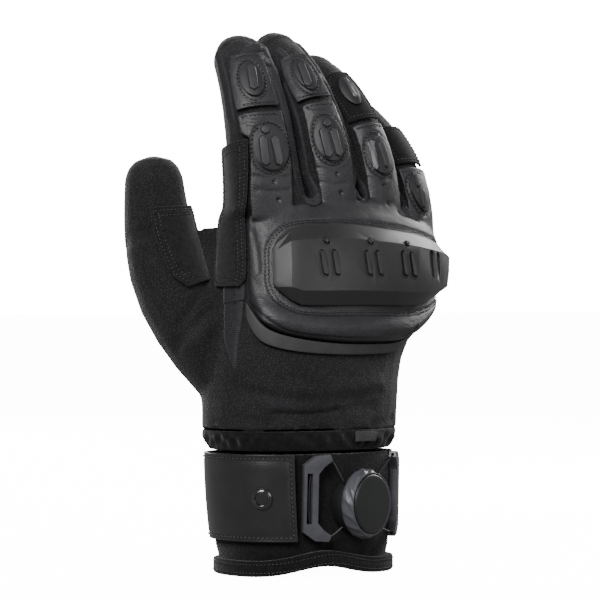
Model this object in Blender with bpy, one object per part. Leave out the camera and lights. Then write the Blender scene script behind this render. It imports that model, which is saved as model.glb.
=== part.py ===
"""Right-hand motorcycle glove with a knuckle guard and a dial-tightened wrist strap.

The glove holds the shape of a half-open hand. Its frame has the origin in the middle of the wrist
mouth, +Z along the hand to the fingertips, -Y out of the back of the hand and +X to the little
finger. Sizes are in millimetres, and MM turns them into metres where a mesh is made.
"""
import math

import bmesh
import bpy
from mathutils import Vector

MM = 0.001

# Driving sizes of the hand and the cuff
HAND_LENGTH = 97.0
HAND_WIDTH = 106.0
HAND_DEPTH = 46.0
CUFF_HEIGHT = 54.0
CUFF_WIDTH = 84.0
CUFF_DEPTH = 60.0
GATHER_HEIGHT = 8.5
HEM_HEIGHT = 7.0
HEM_RISE = 4.6

# Driving sizes of the fingers, each from its crotch to its tip
INDEX_LENGTH = 84.0
MIDDLE_LENGTH = 90.5
RING_LENGTH = 82.0
LITTLE_LENGTH = 64.0
THUMB_LENGTH = 118.0
THUMB_WIDTH = 34.0
FINGER_DEPTH = 28.0
LITTLE_FINGER_DROP = 10.0
INDEX_FINGER_DROP = 2.5

# Driving sizes of the knuckle guard and its padding
PAD = 3.4
LEDGE = 6.6
GUARD_HEIGHT = 4.6
MOTIF_DEPTH = 1.2

# Driving sizes of the wrist closure
STRAP_HEIGHT = 37.6
STRAP_BOTTOM = 15.4
BRACKET_WIDTH = 13.2
BRACKET_HEIGHT = 37.6
BRACKET_THICK = 3.2
DIAL_RADIUS = 15.5
DIAL_MIDDLE = 31.2
DIAL_TURN = 10.2
DIAL_AXIS = 16.0
DIAL_TRAVEL = 2.5
BASE_RADIUS = 13.2
BASE_TOP = 3.4
BORE = 3.3
LACE_RADIUS = 0.5
RIVET_RADIUS = 4.65

# Material thicknesses and clearances. SEAT is the clearance below a panel that bends round the skin,
# and WRAP below one that goes round the hand's edge.
FABRIC_WALL = 1.8
LEATHER = 1.4
GAP = 0.35
SEAT = 0.45
WRAP = 0.80


def spline(rows, column, along):
    """A table's column at a place along it, read from a smooth curve through its rows."""
    places = [row["along"] for row in rows]
    values = [row[column] for row in rows]
    last = len(rows) - 1
    if along <= places[0]:
        slope = (values[1] - values[0]) / (places[1] - places[0])
        return values[0] + slope * (along - places[0])
    if along >= places[last]:
        slope = (values[last] - values[last - 1]) / (places[last] - places[last - 1])
        return values[last] + slope * (along - places[last])
    k = max(i for i in range(last) if places[i] <= along)
    step = places[k + 1] - places[k]

    def slope_at(i):
        low, high = max(i - 1, 0), min(i + 1, last)
        return (values[high] - values[low]) / (places[high] - places[low])

    s = (along - places[k]) / step
    start, end = slope_at(k) * step, slope_at(k + 1) * step
    return (
        values[k] * (2 * s**3 - 3 * s**2 + 1)
        + start * (s**3 - 2 * s**2 + s)
        + values[k + 1] * (3 * s**2 - 2 * s**3)
        + end * (s**3 - s**2)
    )


def table(names, *rows):
    """A table whose rows hold the named columns."""
    return [dict(zip(names.split(), row)) for row in rows]


def oval(turn, square):
    """The sideways and backward shares of a squared oval's point, turn degrees round from its back."""
    sideways, back = math.sin(math.radians(turn)), math.cos(math.radians(turn))
    reach = (abs(sideways) ** square + abs(back) ** square) ** (-1 / square)
    return sideways * reach, back * reach


# Hand: the tube from the wrist seam to the finger crotches. Centres, widths and depths are shares
# of the hand's own width and depth, and arch bends the knuckle line over towards the palm.
HAND = table(
    "along centre_x centre_y width depth square arch",
    (0.00, -0.020, 0.040, 0.860, 1.330, 2.4, 0.00),
    (0.15, -0.015, 0.040, 0.865, 1.330, 2.4, 0.00),
    (0.33, 0.010, 0.020, 0.870, 1.230, 2.5, 0.04),
    (0.52, 0.070, -0.020, 0.930, 1.100, 2.7, 0.11),
    (0.71, 0.125, -0.050, 0.985, 0.940, 2.9, 0.18),
    (0.87, 0.155, -0.050, 1.000, 0.760, 3.0, 0.22),
    (1.00, 0.170, -0.040, 1.000, 0.640, 3.2, 0.23),
)
HAND_BASE = CUFF_HEIGHT + GATHER_HEIGHT + 2 * GAP


def rim_drop(across):
    """How much lower the finger crotches lie towards the little finger (+1) and the index (-1)."""
    drop = LITTLE_FINGER_DROP if across > 0 else INDEX_FINGER_DROP
    return drop * across * across


# Creases of the softshell above the gathered band: where each runs, how far round and how deep
CREASES = table(
    "along turn half_turn depth",
    (0.065, -26, 20, 1.5),
    (0.095, 14, 16, 1.2),
    (0.170, -42, 16, 1.0),
    (0.080, 160, 34, 1.6),
    (0.200, 205, 30, 1.2),
)
CREASE_REACH = 0.03


def crease(along, turn):
    """How far the softshell is drawn in at a place of the hand."""
    drawn = 0.0
    for row in CREASES:
        round_it = (turn % 360 - row["turn"] % 360 + 180) % 360 - 180
        up_it = (along - row["along"]) / CREASE_REACH
        drawn += row["depth"] * math.exp(-(up_it**2) - (round_it / row["half_turn"]) ** 2)
    return drawn


def hand_point(along, turn, out=0.0):
    """A point of the hand's skin, turn degrees round from the back of the hand to the little finger."""
    half_width = HAND_WIDTH * spline(HAND, "width", along) / 2
    half_depth = HAND_DEPTH * spline(HAND, "depth", along) / 2
    sideways, back = oval(turn, spline(HAND, "square", along))
    out -= crease(along, turn)
    arch = HAND_DEPTH * spline(HAND, "arch", along) * sideways * sideways
    return Vector((
        HAND_WIDTH * spline(HAND, "centre_x", along) + (half_width + out) * sideways,
        HAND_DEPTH * spline(HAND, "centre_y", along) - (half_depth + out) * back + arch,
        HAND_BASE + along * (HAND_LENGTH - rim_drop(sideways)),
    ))


# Cuff: a sleeve over the wrist, its shares those of the cuff's own width and depth.
CUFF = table(
    "along centre_x centre_y width depth square",
    (0.00, 0.000, 0.03, 0.955, 1.000, 2.3),
    (0.15, -0.005, 0.03, 0.945, 0.990, 2.3),
    (0.45, -0.015, 0.03, 0.975, 1.000, 2.3),
    (0.80, -0.025, 0.03, 1.000, 1.020, 2.3),
    (1.00, -0.025, 0.03, 1.000, 1.010, 2.3),
)


def hem_wave(turn):
    """The hem's rise over the back of the wrist."""
    return HEM_RISE * math.exp(-(((turn + 14) / 24) ** 2))


def cuff_point(height, turn, out=0.0):
    """A point of the cuff's skin at a height above the hem's lowest edge."""
    along = height / CUFF_HEIGHT
    half_width = CUFF_WIDTH * spline(CUFF, "width", along) / 2
    half_depth = CUFF_DEPTH * spline(CUFF, "depth", along) / 2
    sideways, back = oval(turn, spline(CUFF, "square", along))
    return Vector((
        CUFF_WIDTH * spline(CUFF, "centre_x", along) + (half_width + out) * sideways,
        CUFF_DEPTH * spline(CUFF, "centre_y", along) - (half_depth + out) * back,
        height,
    ))


# Fingers: each follows a path whose pitch bends it towards the palm and whose lean bends it
# sideways. Widths and depths are shares of the finger's own width and of the finger depth.
def finger(place, length, width, roll, rows, depth=1.0):
    """A finger's sizes: its place across the knuckles, its length, width, roll and path table."""
    return {
        "place": place,
        "length": length,
        "width": width,
        "depth": depth,
        "roll": math.radians(roll),
        "rows": rows,
    }


PATH = "along lean pitch width depth square"
FINGERS = {
    "index": finger(-0.70, INDEX_LENGTH, 0.298, -16, table(
        PATH,
        (0.00, -3, 2, 1.00, 1.00, 3.4),
        (0.25, -4, 7, 0.97, 1.00, 2.6),
        (0.45, -4, 18, 0.92, 0.97, 2.4),
        (0.70, -3, 36, 0.83, 0.88, 2.3),
        (0.90, -2, 50, 0.76, 0.80, 2.3),
        (1.00, -2, 56, 0.74, 0.76, 2.3),
    ), 0.98),
    "middle": finger(-0.16, MIDDLE_LENGTH, 0.232, -4, table(
        PATH,
        (0.00, -3, 4, 0.98, 1.00, 3.4),
        (0.25, -4, 14, 0.97, 1.02, 2.6),
        (0.45, -4, 28, 0.95, 0.98, 2.4),
        (0.70, -4, 44, 0.91, 0.90, 2.3),
        (0.90, -4, 56, 0.84, 0.82, 2.3),
        (1.00, -4, 60, 0.82, 0.78, 2.3),
    )),
    "ring": finger(0.285, RING_LENGTH, 0.208, 10, table(
        PATH,
        (0.00, 1, 8, 0.98, 1.00, 3.4),
        (0.25, 1, 18, 0.97, 1.02, 2.6),
        (0.45, 0, 31, 0.97, 0.98, 2.4),
        (0.70, 1, 46, 0.94, 0.90, 2.3),
        (0.90, 1, 57, 0.88, 0.82, 2.3),
        (1.00, 1, 61, 0.86, 0.78, 2.3),
    ), 0.98),
    "little": finger(0.72, LITTLE_LENGTH, 0.205, 24, table(
        PATH,
        (0.00, 4, 12, 1.00, 1.00, 3.2),
        (0.25, 6, 20, 1.04, 1.00, 2.6),
        (0.45, 6, 31, 1.00, 0.94, 2.4),
        (0.70, 5, 43, 0.92, 0.86, 2.3),
        (0.90, 4, 52, 0.86, 0.78, 2.3),
        (1.00, 4, 56, 0.84, 0.74, 2.3),
    ), 0.90),
}
THUMB = table(
    PATH,
    (0.00, -36, 10, 0.66, 0.66, 2.3),
    (0.20, -32, 14, 0.86, 0.90, 2.3),
    (0.38, -26, 12, 0.96, 1.00, 2.3),
    (0.55, -16, 6, 0.98, 0.96, 2.3),
    (0.75, -6, 2, 0.86, 0.84, 2.3),
    (0.90, -3, 2, 0.76, 0.74, 2.3),
    (1.00, -3, 4, 0.72, 0.68, 2.3),
)
PATH_STEPS = 80


def follow(start, limb):
    """The limb's centre at each of its steps, its tangent turned by the table's lean and pitch."""
    side = Vector((math.cos(limb["roll"]), math.sin(limb["roll"]), 0))
    palm = Vector((-math.sin(limb["roll"]), math.cos(limb["roll"]), 0))
    frames, centre = [], Vector(start)
    for k in range(PATH_STEPS + 1):
        along = k / PATH_STEPS
        lean = math.radians(spline(limb["rows"], "lean", along))
        pitch = math.radians(spline(limb["rows"], "pitch", along))
        up = side * math.sin(lean) + Vector((0, 0, math.cos(lean)))
        across = side * math.cos(lean) - Vector((0, 0, math.sin(lean)))
        tangent = up * math.cos(pitch) + palm * math.sin(pitch)
        back = up * math.sin(pitch) - palm * math.cos(pitch)
        frames.append((centre.copy(), across, back))
        centre += tangent * limb["length"] / PATH_STEPS
    limb["frames"] = frames


def frame_at(limb, along):
    """The limb's centre, sideways and backward directions at a share of its length."""
    step = along * PATH_STEPS
    k = min(max(int(step), 0), PATH_STEPS - 1)
    (c0, a0, b0), (c1, a1, b1) = limb["frames"][k], limb["frames"][k + 1]
    s = step - k
    return c0.lerp(c1, s), a0.lerp(a1, s).normalized(), b0.lerp(b1, s).normalized()


TIP_ROUND = 0.95


def limb_point(limb, along, turn, out=0.0):
    """A point of a finger's or the thumb's skin. Past the tip's start, the section closes as a dome."""
    further = out / limb["length"] * max(2 * along - 1, 0) ** 4
    centre, across, back = frame_at(limb, along + further)
    half_width = limb["width"] * spline(limb["rows"], "width", along) / 2 + out
    half_depth = limb["depth"] * spline(limb["rows"], "depth", along) / 2 + out
    tip_start = 1 - TIP_ROUND * half_width / limb["length"]
    if along > tip_start:
        closing = min((along - tip_start) / (1 - tip_start), 1.0)
        shrink = math.sqrt(max(1 - closing**2.4, 0.0))
        half_width *= shrink
        half_depth *= shrink
    sideways, backwards = oval(turn, spline(limb["rows"], "square", along))
    point = centre + across * half_width * sideways + back * half_depth * backwards
    if limb["rim"]:
        point.z += (rim_height(point.x) - point.z) * max(1 - along / 0.10, 0)
        point.z += (rim_height(point.x) - rim_height(centre.x)) * min(max(1 - along / 0.3, 0), along * 8)
    return point


def rim_height(x):
    """The height just above the hand's rim at a place across it."""
    half_width = HAND_WIDTH * spline(HAND, "width", 1) / 2
    across = (x - HAND_WIDTH * spline(HAND, "centre_x", 1)) / half_width
    return HAND_BASE + HAND_LENGTH - rim_drop(min(max(across, -1), 1)) + GAP


for limb in FINGERS.values():
    limb["rim"] = True
    limb["width"] *= HAND_WIDTH
    limb["depth"] *= FINGER_DEPTH
    crotch = HAND_BASE + HAND_LENGTH - rim_drop(limb["place"]) + GAP
    arch = HAND_DEPTH * spline(HAND, "arch", 1) * limb["place"] ** 2
    follow((
        HAND_WIDTH * (spline(HAND, "centre_x", 1) + spline(HAND, "width", 1) * limb["place"] / 2),
        HAND_DEPTH * spline(HAND, "centre_y", 1) + arch,
        crotch,
    ), limb)
thumb = {
    "rim": False,
    "length": THUMB_LENGTH,
    "width": THUMB_WIDTH,
    "depth": THUMB_WIDTH,
    "roll": math.radians(-20),
    "rows": THUMB,
}
follow((-0.26 * HAND_WIDTH, 0.20 * HAND_DEPTH, HAND_BASE + 0.12 * HAND_LENGTH), thumb)

# Solids


def piece(name, points, faces, origin=Vector((0, 0, 0))):
    """An object from points in millimetres, faces turned outwards, its origin where it is told."""
    mesh = bpy.data.meshes.new(name)
    mesh.from_pydata([tuple((point - origin) * MM) for point in points], [], faces)
    work = bmesh.new()
    work.from_mesh(mesh)
    bmesh.ops.recalc_face_normals(work, faces=work.faces)
    work.to_mesh(mesh)
    work.free()
    made = bpy.data.objects.new(name, mesh)
    made.location = origin * MM
    bpy.context.collection.objects.link(made)
    return made


def lathe(name, rings, poles=None, origin=Vector((0, 0, 0))):
    """A closed body whose skin runs from ring to ring, round to the first one or between two poles."""
    count = len(rings[0])
    points = [point for ring in rings for point in ring]
    faces = []
    for k in range(len(rings) if poles is None else len(rings) - 1):
        here, there = k * count, (k + 1) % len(rings) * count
        for i in range(count):
            j = (i + 1) % count
            faces.append((here + i, here + j, there + j, there + i))
    if poles is not None:
        points += poles
        last = (len(rings) - 1) * count
        for i in range(count):
            j = (i + 1) % count
            faces.append((len(points) - 2, i, j))
            faces.append((len(points) - 1, last + j, last + i))
    return piece(name, points, faces, origin)


def patch(name, low, high):
    """A closed body between two grids of the same size, its four borders walled."""
    rows, columns = len(low), len(low[0])
    points = [point for row in low for point in row] + [point for row in high for point in row]
    top = rows * columns
    faces = []
    for r in range(rows - 1):
        for c in range(columns - 1):
            a = r * columns + c
            faces.append((a, a + columns, a + columns + 1, a + 1))
            faces.append((top + a, top + a + 1, top + a + columns + 1, top + a + columns))
    edge = [c for c in range(columns)]
    edge += [r * columns + columns - 1 for r in range(1, rows)]
    edge += [(rows - 1) * columns + c for c in range(columns - 2, -1, -1)]
    edge += [r * columns for r in range(rows - 2, 0, -1)]
    for k in range(len(edge)):
        a, b = edge[k], edge[(k + 1) % len(edge)]
        faces.append((a, b, top + b, top + a))
    return piece(name, points, faces)


def prism(name, outline, frame, bottom, top):
    """A flat outline in a frame's plane, given thickness along the frame's axis."""
    origin, across, up, axis = frame
    points = [origin + across * w + up * z + axis * bottom for w, z in outline]
    points += [origin + across * w + up * z + axis * top for w, z in outline]
    count = len(outline)
    faces = [tuple(range(count)), tuple(range(2 * count - 1, count - 1, -1))]
    for k in range(count):
        j = (k + 1) % count
        faces.append((k, j, count + j, count + k))
    return piece(name, points, faces)


def cord_rings(path, radius, sides=6):
    """Rings of a round cord along a path."""
    rings = []
    for k, point in enumerate(path):
        ahead = (path[min(k + 1, len(path) - 1)] - path[max(k - 1, 0)]).normalized()
        side = ahead.cross(Vector((0.3, -0.9, 0.31))).normalized()
        other = ahead.cross(side)
        angles = [math.tau * i / sides for i in range(sides)]
        rings.append([point + (side * math.cos(a) + other * math.sin(a)) * radius for a in angles])
    return rings


def cord(name, path, radius):
    """A round cord along a path, closed at both ends."""
    return lathe(name, cord_rings(path, radius), [path[0], path[-1]])


def cut(body, cutter, operation="DIFFERENCE"):
    """A live Boolean of a hidden cutter on a body."""
    cutter.hide_render = True
    cutter.display_type = "WIRE"
    modifier = body.modifiers.new(cutter.name, "BOOLEAN")
    modifier.operation = operation
    modifier.solver = "EXACT"
    modifier.object = cutter


def rings_of(surface, shares, turns, out):
    """Rings of a surface at the shares along it."""
    return [[surface(share, turn, out) for turn in turns] for share in shares]


def circle(count):
    """Turns that go once round."""
    return [360 * k / count for k in range(count)]


def border_panel(name, surface, rows, columns, low=SEAT, high=SEAT + LEATHER):
    """A panel whose left and right borders are turns in a table of shares along the surface."""
    grids = ([], [])
    for row in rows:
        turns = [row["left"] + (row["right"] - row["left"]) * c / columns for c in range(columns + 1)]
        for grid, out in zip(grids, (low, high)):
            grid.append([surface(row["along"], turn, out) for turn in turns])
    return patch(name, *grids)


def pad(name, surface, along, turn, half_length, half_turn, low, high, steps=4):
    """An oval pad on a surface, a little domed."""
    grids = ([], [])
    for r in range(steps + 1):
        for grid in grids:
            grid.append([])
        for c in range(steps + 1):
            v, u = 2 * r / steps - 1, 2 * c / steps - 1
            y, x = v * math.sqrt(1 - u * u / 2), u * math.sqrt(1 - v * v / 2)
            place, angle = along + half_length * y, turn + half_turn * x
            inside = 0 < r < steps and 0 < c < steps
            grids[0][-1].append(surface(place, angle, low))
            grids[1][-1].append(surface(place, angle, high if inside else high - 0.35))
    return patch(name, *grids)


def on(limb):
    """A limb's surface as a function of share, turn and height above the skin."""
    return lambda along, turn, out: limb_point(limb, along, turn, out)


for stale in list(bpy.data.objects):
    bpy.data.objects.remove(stale, do_unlink=True)

# Sleeve, hem and gathered band of the wrist
SLEEVE_TURNS = circle(36)


def sleeve_point(share, turn, out):
    """A point of the sleeve between the top of its hem and its own top."""
    bottom = HEM_HEIGHT + GAP + hem_wave(turn if turn < 180 else turn - 360)
    return cuff_point(bottom + (CUFF_HEIGHT - bottom) * share, turn, out)


def hem_point(height, turn, out):
    """A point of the hem binding at a height above its own wavy edge."""
    return cuff_point(0, turn, out) + Vector((0, 0, height + hem_wave(turn if turn < 180 else turn - 360)))


def gather_point(share, turn, out):
    """A point of the gathered band, which swells between the sleeve and the hand."""
    below, above = cuff_point(CUFF_HEIGHT, turn, out), hand_point(0, turn, out)
    point = below.lerp(above, share)
    swell = 0.9 * math.sin(math.pi * share) * (1 + 0.45 * math.cos(math.radians(13 * turn + 40)))
    outward = Vector((math.sin(math.radians(turn)), -math.cos(math.radians(turn)), 0))
    point += outward * swell
    point.z = CUFF_HEIGHT + GAP + GATHER_HEIGHT * share
    return point


sleeve_rows = (0, 0.45, 1)
lathe(
    "wrist_sleeve",
    rings_of(sleeve_point, sleeve_rows, SLEEVE_TURNS, 0)
    + rings_of(sleeve_point, sleeve_rows[::-1], SLEEVE_TURNS, -FABRIC_WALL),
)
HEM = table(
    "out height",
    (-3.0, 7.0),
    (-3.0, 1.0),
    (-2.0, 0.0),
    (0.6, 0.0),
    (1.6, 1.0),
    (1.5, 7.0),
)
lathe("hem_binding", [
    [hem_point(row["height"], turn, row["out"]) for turn in SLEEVE_TURNS] for row in HEM
])
gather_rows = (0, 0.5, 1)
GATHER_TURNS = circle(40)
lathe(
    "gather_band",
    rings_of(gather_point, gather_rows, GATHER_TURNS, 0)
    + rings_of(gather_point, gather_rows[::-1], GATHER_TURNS, -FABRIC_WALL),
)

# Hand shell with the thumb's root, and the five stalls
HAND_ROWS = (0.0, 0.035, 0.07, 0.105, 0.17, 0.24, 0.34, 0.45, 0.56, 0.67, 0.78, 0.89, 1.0)
HAND_TURNS = circle(36)
THUMB_ROWS = (0.0, 0.12, 0.24, 0.35, 0.46, 0.57, 0.67)
THUMB_TURNS = circle(16)


def plug(name, rings):
    """A tube's rings closed at both ends, for a Boolean."""
    ends = [sum(ring, Vector((0, 0, 0))) / len(ring) for ring in (rings[0], rings[-1])]
    return lathe(name, rings, ends)


thumb_skin = on(thumb)
hand_shell = plug("hand_shell", rings_of(hand_point, HAND_ROWS, HAND_TURNS, 0))
cut(hand_shell, plug("thumb_root", rings_of(thumb_skin, THUMB_ROWS, THUMB_TURNS, 0)), "UNION")
inside_rows = (-0.04,) + HAND_ROWS[1:-1] + (1.04,)
cut(hand_shell, plug("hand_space", rings_of(hand_point, inside_rows, HAND_TURNS, -FABRIC_WALL)))
inside_rows = THUMB_ROWS[:-1] + (0.70,)
cut(hand_shell, plug("thumb_space", rings_of(thumb_skin, inside_rows, THUMB_TURNS, -FABRIC_WALL)))


def stall(name, skin, rows, turns):
    """A finger of the glove, open at its base and domed at its tip."""
    rings = rings_of(skin, rows[::-1], turns, -FABRIC_WALL) + rings_of(skin, rows, turns, 0)
    return lathe(name, rings, [skin(1, 0, -FABRIC_WALL), skin(1, 0, 0)])


FINGER_ROWS = (0.0, 0.13, 0.28, 0.42, 0.55, 0.68, 0.79, 0.89, 0.96)
FINGER_TURNS = circle(14)
skins = {name: on(limb) for name, limb in FINGERS.items()}
for name, skin in skins.items():
    stall(name + "_stall", skin, FINGER_ROWS, FINGER_TURNS)
stall("thumb_stall", thumb_skin, (0.675, 0.74, 0.80, 0.86, 0.91, 0.95, 0.98), THUMB_TURNS)

# Leather back of the hand, padded below the guard and rolled to a ledge at its lower edge
LEATHER_TOP = 0.985
LEATHER_EDGE = table(
    "turn low",
    (-58, 0.590),
    (-54, 0.525),
    (-49, 0.475),
    (-42, 0.445),
    (-34, 0.424),
    (-24, 0.407),
    (-12, 0.393),
    (0, 0.387),
    (12, 0.388),
    (24, 0.394),
    (33, 0.405),
    (41, 0.440),
    (48, 0.490),
    (56, 0.525),
    (66, 0.560),
    (77, 0.595),
    (88, 0.630),
)
LEDGE_ROWS = table("up height", (0.000, 0.30), (0.022, 0.86), (0.062, 1.00), (0.100, 0.82), (0.135, 0.52))


LEDGE_FOOT = 0.6
PAD_TOP = 0.935


def leather_heights(turn, low):
    """The shares along the hand and the heights of the leather's rows at a turn."""
    fade = min((turn + 58) / 11, (88 - turn) / 11, 1)
    skin = SEAT + LEATHER
    rows = [(low + row["up"], skin + (LEDGE * row["height"] - LEATHER) * fade) for row in LEDGE_ROWS]
    rows[0] = (low, skin + LEDGE_FOOT * fade)
    first = rows[-1][0]
    for k in (1, 2, 3, 4):
        rows.append((first + (PAD_TOP - first) * k / 4, skin + (PAD - LEATHER) * fade))
    rows[4] = (first, skin + (PAD - LEATHER) * fade)
    rows.append((LEATHER_TOP, skin))
    return rows


grids = [], []
for r in range(len(LEDGE_ROWS) + 5):
    heights = [leather_heights(row["turn"], row["low"])[r] for row in LEATHER_EDGE]
    grids[0].append([hand_point(h[0], row["turn"], SEAT) for h, row in zip(heights, LEATHER_EDGE)])
    grids[1].append([hand_point(h[0], row["turn"], h[1]) for h, row in zip(heights, LEATHER_EDGE)])
patch("back_leather", *grids)

# Rubber flange that shows below the ledge
FLANGE = table(
    "turn low high",
    (-60, 0.500, 0.583),
    (-54, 0.430, 0.518),
    (-49, 0.395, 0.468),
    (-42, 0.374, 0.438),
    (-34, 0.358, 0.417),
    (-24, 0.345, 0.400),
    (-12, 0.337, 0.386),
    (0, 0.333, 0.380),
    (12, 0.335, 0.381),
    (24, 0.342, 0.387),
    (33, 0.352, 0.398),
    (41, 0.385, 0.433),
    (48, 0.440, 0.483),
    (56, 0.485, 0.518),
)
FLANGE_ROWS = table("share height", (0.0, 1.3), (0.5, 1.9), (1.0, 2.3))
grids = [], []
for step in FLANGE_ROWS:
    for grid, out in zip(grids, (SEAT, SEAT + step["height"])):
        grid.append([
            hand_point(row["low"] + (row["high"] - row["low"]) * step["share"], row["turn"], out)
            for row in FLANGE
        ])
patch("ledge_flange", *grids)

# Knuckle guard: a hard shell with a low rim, bevelled up to a flat top that has sunk slots
GUARD = table(
    "turn low high border",
    (-44, 0.655, 0.825, 0.25),
    (-42, 0.633, 0.850, 0.40),
    (-36, 0.585, 0.905, 0.95),
    (-31, 0.560, 0.918, 1.00),
    (-21, 0.556, 0.918, 1.00),
    (-10, 0.556, 0.918, 1.00),
    (2, 0.556, 0.905, 1.00),
    (13, 0.558, 0.898, 1.00),
    (24, 0.563, 0.896, 1.00),
    (34, 0.580, 0.895, 1.00),
    (44, 0.620, 0.895, 1.00),
    (54, 0.655, 0.890, 1.00),
    (63, 0.685, 0.880, 0.95),
    (69, 0.715, 0.860, 0.40),
    (72, 0.735, 0.845, 0.25),
)
GUARD_ROWS = table(
    "share height",
    (0.0, 0.25),
    (0.05, 0.40),
    (0.18, 1.0),
    (0.50, 1.0),
    (0.82, 1.0),
    (0.95, 0.40),
    (1.0, 0.25),
)
GUARD_LOW = SEAT + PAD + GAP + 0.1
grids = [], []
for step in GUARD_ROWS:
    shares = [row["low"] + (row["high"] - row["low"]) * step["share"] for row in GUARD]
    tops = [GUARD_LOW + GUARD_HEIGHT * min(step["height"], row["border"]) for row in GUARD]
    grids[0].append([hand_point(share, row["turn"], GUARD_LOW) for share, row in zip(shares, GUARD)])
    grids[1].append([
        hand_point(share, row["turn"], top) for share, row, top in zip(shares, GUARD, tops)
    ])
knuckle_guard = patch("knuckle_guard", *grids)


def frame_on(surface, along, turn, out):
    """A frame on a surface: its point, the directions round and up it, and its outward normal."""
    origin = surface(along, turn, out)
    across = (surface(along, turn + 2, out) - surface(along, turn - 2, out)).normalized()
    up = (surface(along + 0.02, turn, out) - surface(along - 0.02, turn, out)).normalized()
    axis = across.cross(up).normalized()
    return origin, across, axis.cross(across).normalized(), axis


def capsule(half_length, radius, across=0.0, steps=4):
    """The outline of an upright slot."""
    angles = [math.pi * k / steps for k in range(steps + 1)]
    arc = [(radius * math.cos(a), radius * math.sin(a)) for a in angles]
    straight = half_length - radius
    return [(across + x, straight + y) for x, y in arc] + [(across - x, -straight - y) for x, y in arc]


SLOT_PLACE = 2.9
SLOT_HALF_LENGTH = 6.4
SLOT_RADIUS = 2.0
DOT_PLACE = 10.0
DOT_RADIUS = 1.9
MOTIFS = table("turn along", (-21.3, 0.745), (-0.8, 0.740), (18.0, 0.745), (35.0, 0.770))
for k, row in enumerate(MOTIFS):
    frame = frame_on(hand_point, row["along"], row["turn"], GUARD_LOW + GUARD_HEIGHT)
    for side, across in (("left", -SLOT_PLACE), ("right", SLOT_PLACE)):
        outline = capsule(SLOT_HALF_LENGTH, SLOT_RADIUS, across)
        cut(knuckle_guard, prism("slot_%d_%s" % (k + 1, side), outline, frame, -MOTIF_DEPTH, 3))
    turns = [math.tau * i / 8 for i in range(8)]
    dot = [(DOT_RADIUS * math.cos(a), DOT_PLACE + DOT_RADIUS * math.sin(a)) for a in turns]
    cut(knuckle_guard, prism("dot_%d" % (k + 1), dot, frame, -MOTIF_DEPTH, 3))

# Leather and fabric panels on the backs of the fingers
BORDERS = "along left right"
PANELS = {
    "index_leather": ("index", table(
        BORDERS, (0.035, -38, 24), (0.13, -37, 26), (0.23, -34, 28), (0.335, -33, 28),
        (0.365, -46, 27), (0.455, -48, 25))),
    "middle_leather": ("middle", table(
        BORDERS, (0.035, -40, 30), (0.15, -46, 30), (0.26, -48, 28), (0.36, -47, 26), (0.452, -46, 22))),
    "ring_leather": ("ring", table(
        BORDERS, (0.035, -48, 32), (0.15, -50, 30), (0.25, -50, 28), (0.33, -51, 24), (0.405, -52, 20))),
    "little_leather": ("little", table(
        BORDERS, (0.04, -50, 40), (0.12, -52, 38), (0.21, -53, 36), (0.30, -54, 32))),
    "index_tip_leather": ("index", table(
        BORDERS, (0.478, -48, 22), (0.55, -50, 20), (0.63, -50, 18), (0.70, -46, 18), (0.76, -38, 14))),
    "middle_tip_leather": ("middle", table(
        BORDERS, (0.475, -50, 20), (0.54, -54, 18), (0.60, -55, 16), (0.66, -52, 16), (0.715, -44, 12))),
    "ring_tip_panel": ("ring", table(
        BORDERS, (0.428, -54, 20), (0.51, -56, 18), (0.59, -58, 18), (0.66, -56, 16), (0.72, -48, 12))),
    "little_tip_panel": ("little", table(
        BORDERS, (0.33, -54, 32), (0.42, -56, 30), (0.51, -58, 26), (0.60, -54, 20))),
}
for name, (finger_name, rows) in PANELS.items():
    border_panel(name, skins[finger_name], rows, 5)
PADS = table(
    "name finger along turn half_length half_turn",
    ("index_insert", "index", 0.282, -3, 0.108, 26),
    ("middle_insert", "middle", 0.282, -12, 0.100, 28),
    ("ring_insert", "ring", 0.240, -15, 0.102, 28),
    ("little_insert", "little", 0.152, -18, 0.098, 27),
    ("index_tip_insert", "index", 0.612, -14, 0.092, 19),
    ("middle_tip_insert", "middle", 0.590, -17, 0.086, 18),
    ("ring_tip_insert", "ring", 0.582, -24, 0.085, 17),
)
INSERT_LOW = SEAT + LEATHER + GAP
for row in PADS:
    pad(
        row["name"], skins[row["finger"]], row["along"], row["turn"], row["half_length"],
        row["half_turn"], INSERT_LOW, INSERT_LOW + 1.2,
    )

# Suede patches on the index finger's side and on the thumb, and the ribbed strip below
SIDE_PATCH = table(
    "place along left right swell",
    ("hand", 0.655, -100, -66, 0.0),
    ("hand", 0.685, -106, -61, 0.0),
    ("hand", 0.76, -110, -60, 0.0),
    ("hand", 0.84, -112, -60, 0.0),
    ("hand", 0.92, -112, -60, 0.0),
    ("hand", 0.97, -110, -60, 0.5),
    ("index", 0.02, -106, -43, 1.1),
    ("index", 0.07, -108, -41, 0.4),
    ("index", 0.14, -110, -40, 0.0),
    ("index", 0.23, -110, -37, 0.0),
    ("index", 0.335, -108, -36, 0.0),
)
grids = [], []
for row in SIDE_PATCH:
    skin = hand_point if row["place"] == "hand" else skins["index"]
    turns = [row["left"] + (row["right"] - row["left"]) * c / 5 for c in range(6)]
    for grid, out in zip(grids, (WRAP, WRAP + LEATHER)):
        grid.append([skin(row["along"], turn, out + row["swell"]) for turn in turns])
patch("index_side_patch", *grids)
border_panel("thumb_patch", thumb_skin, table(
    BORDERS, (0.47, 8, 50), (0.53, -8, 66), (0.60, -13, 78), (0.67, -18, 82), (0.74, -21, 84),
    (0.80, -23, 84)), 5)
border_panel("ribbed_strip", hand_point, table(
    BORDERS, (0.30, -69, -66), (0.40, -72, -65), (0.50, -75, -64), (0.57, -78, -63), (0.64, -80, -63)), 3)

# Leather strap round the wrist, its rivet and the bar tack above it
STRAP_TURNS = [-31 - 7.2 * k for k in range(37)]


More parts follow.
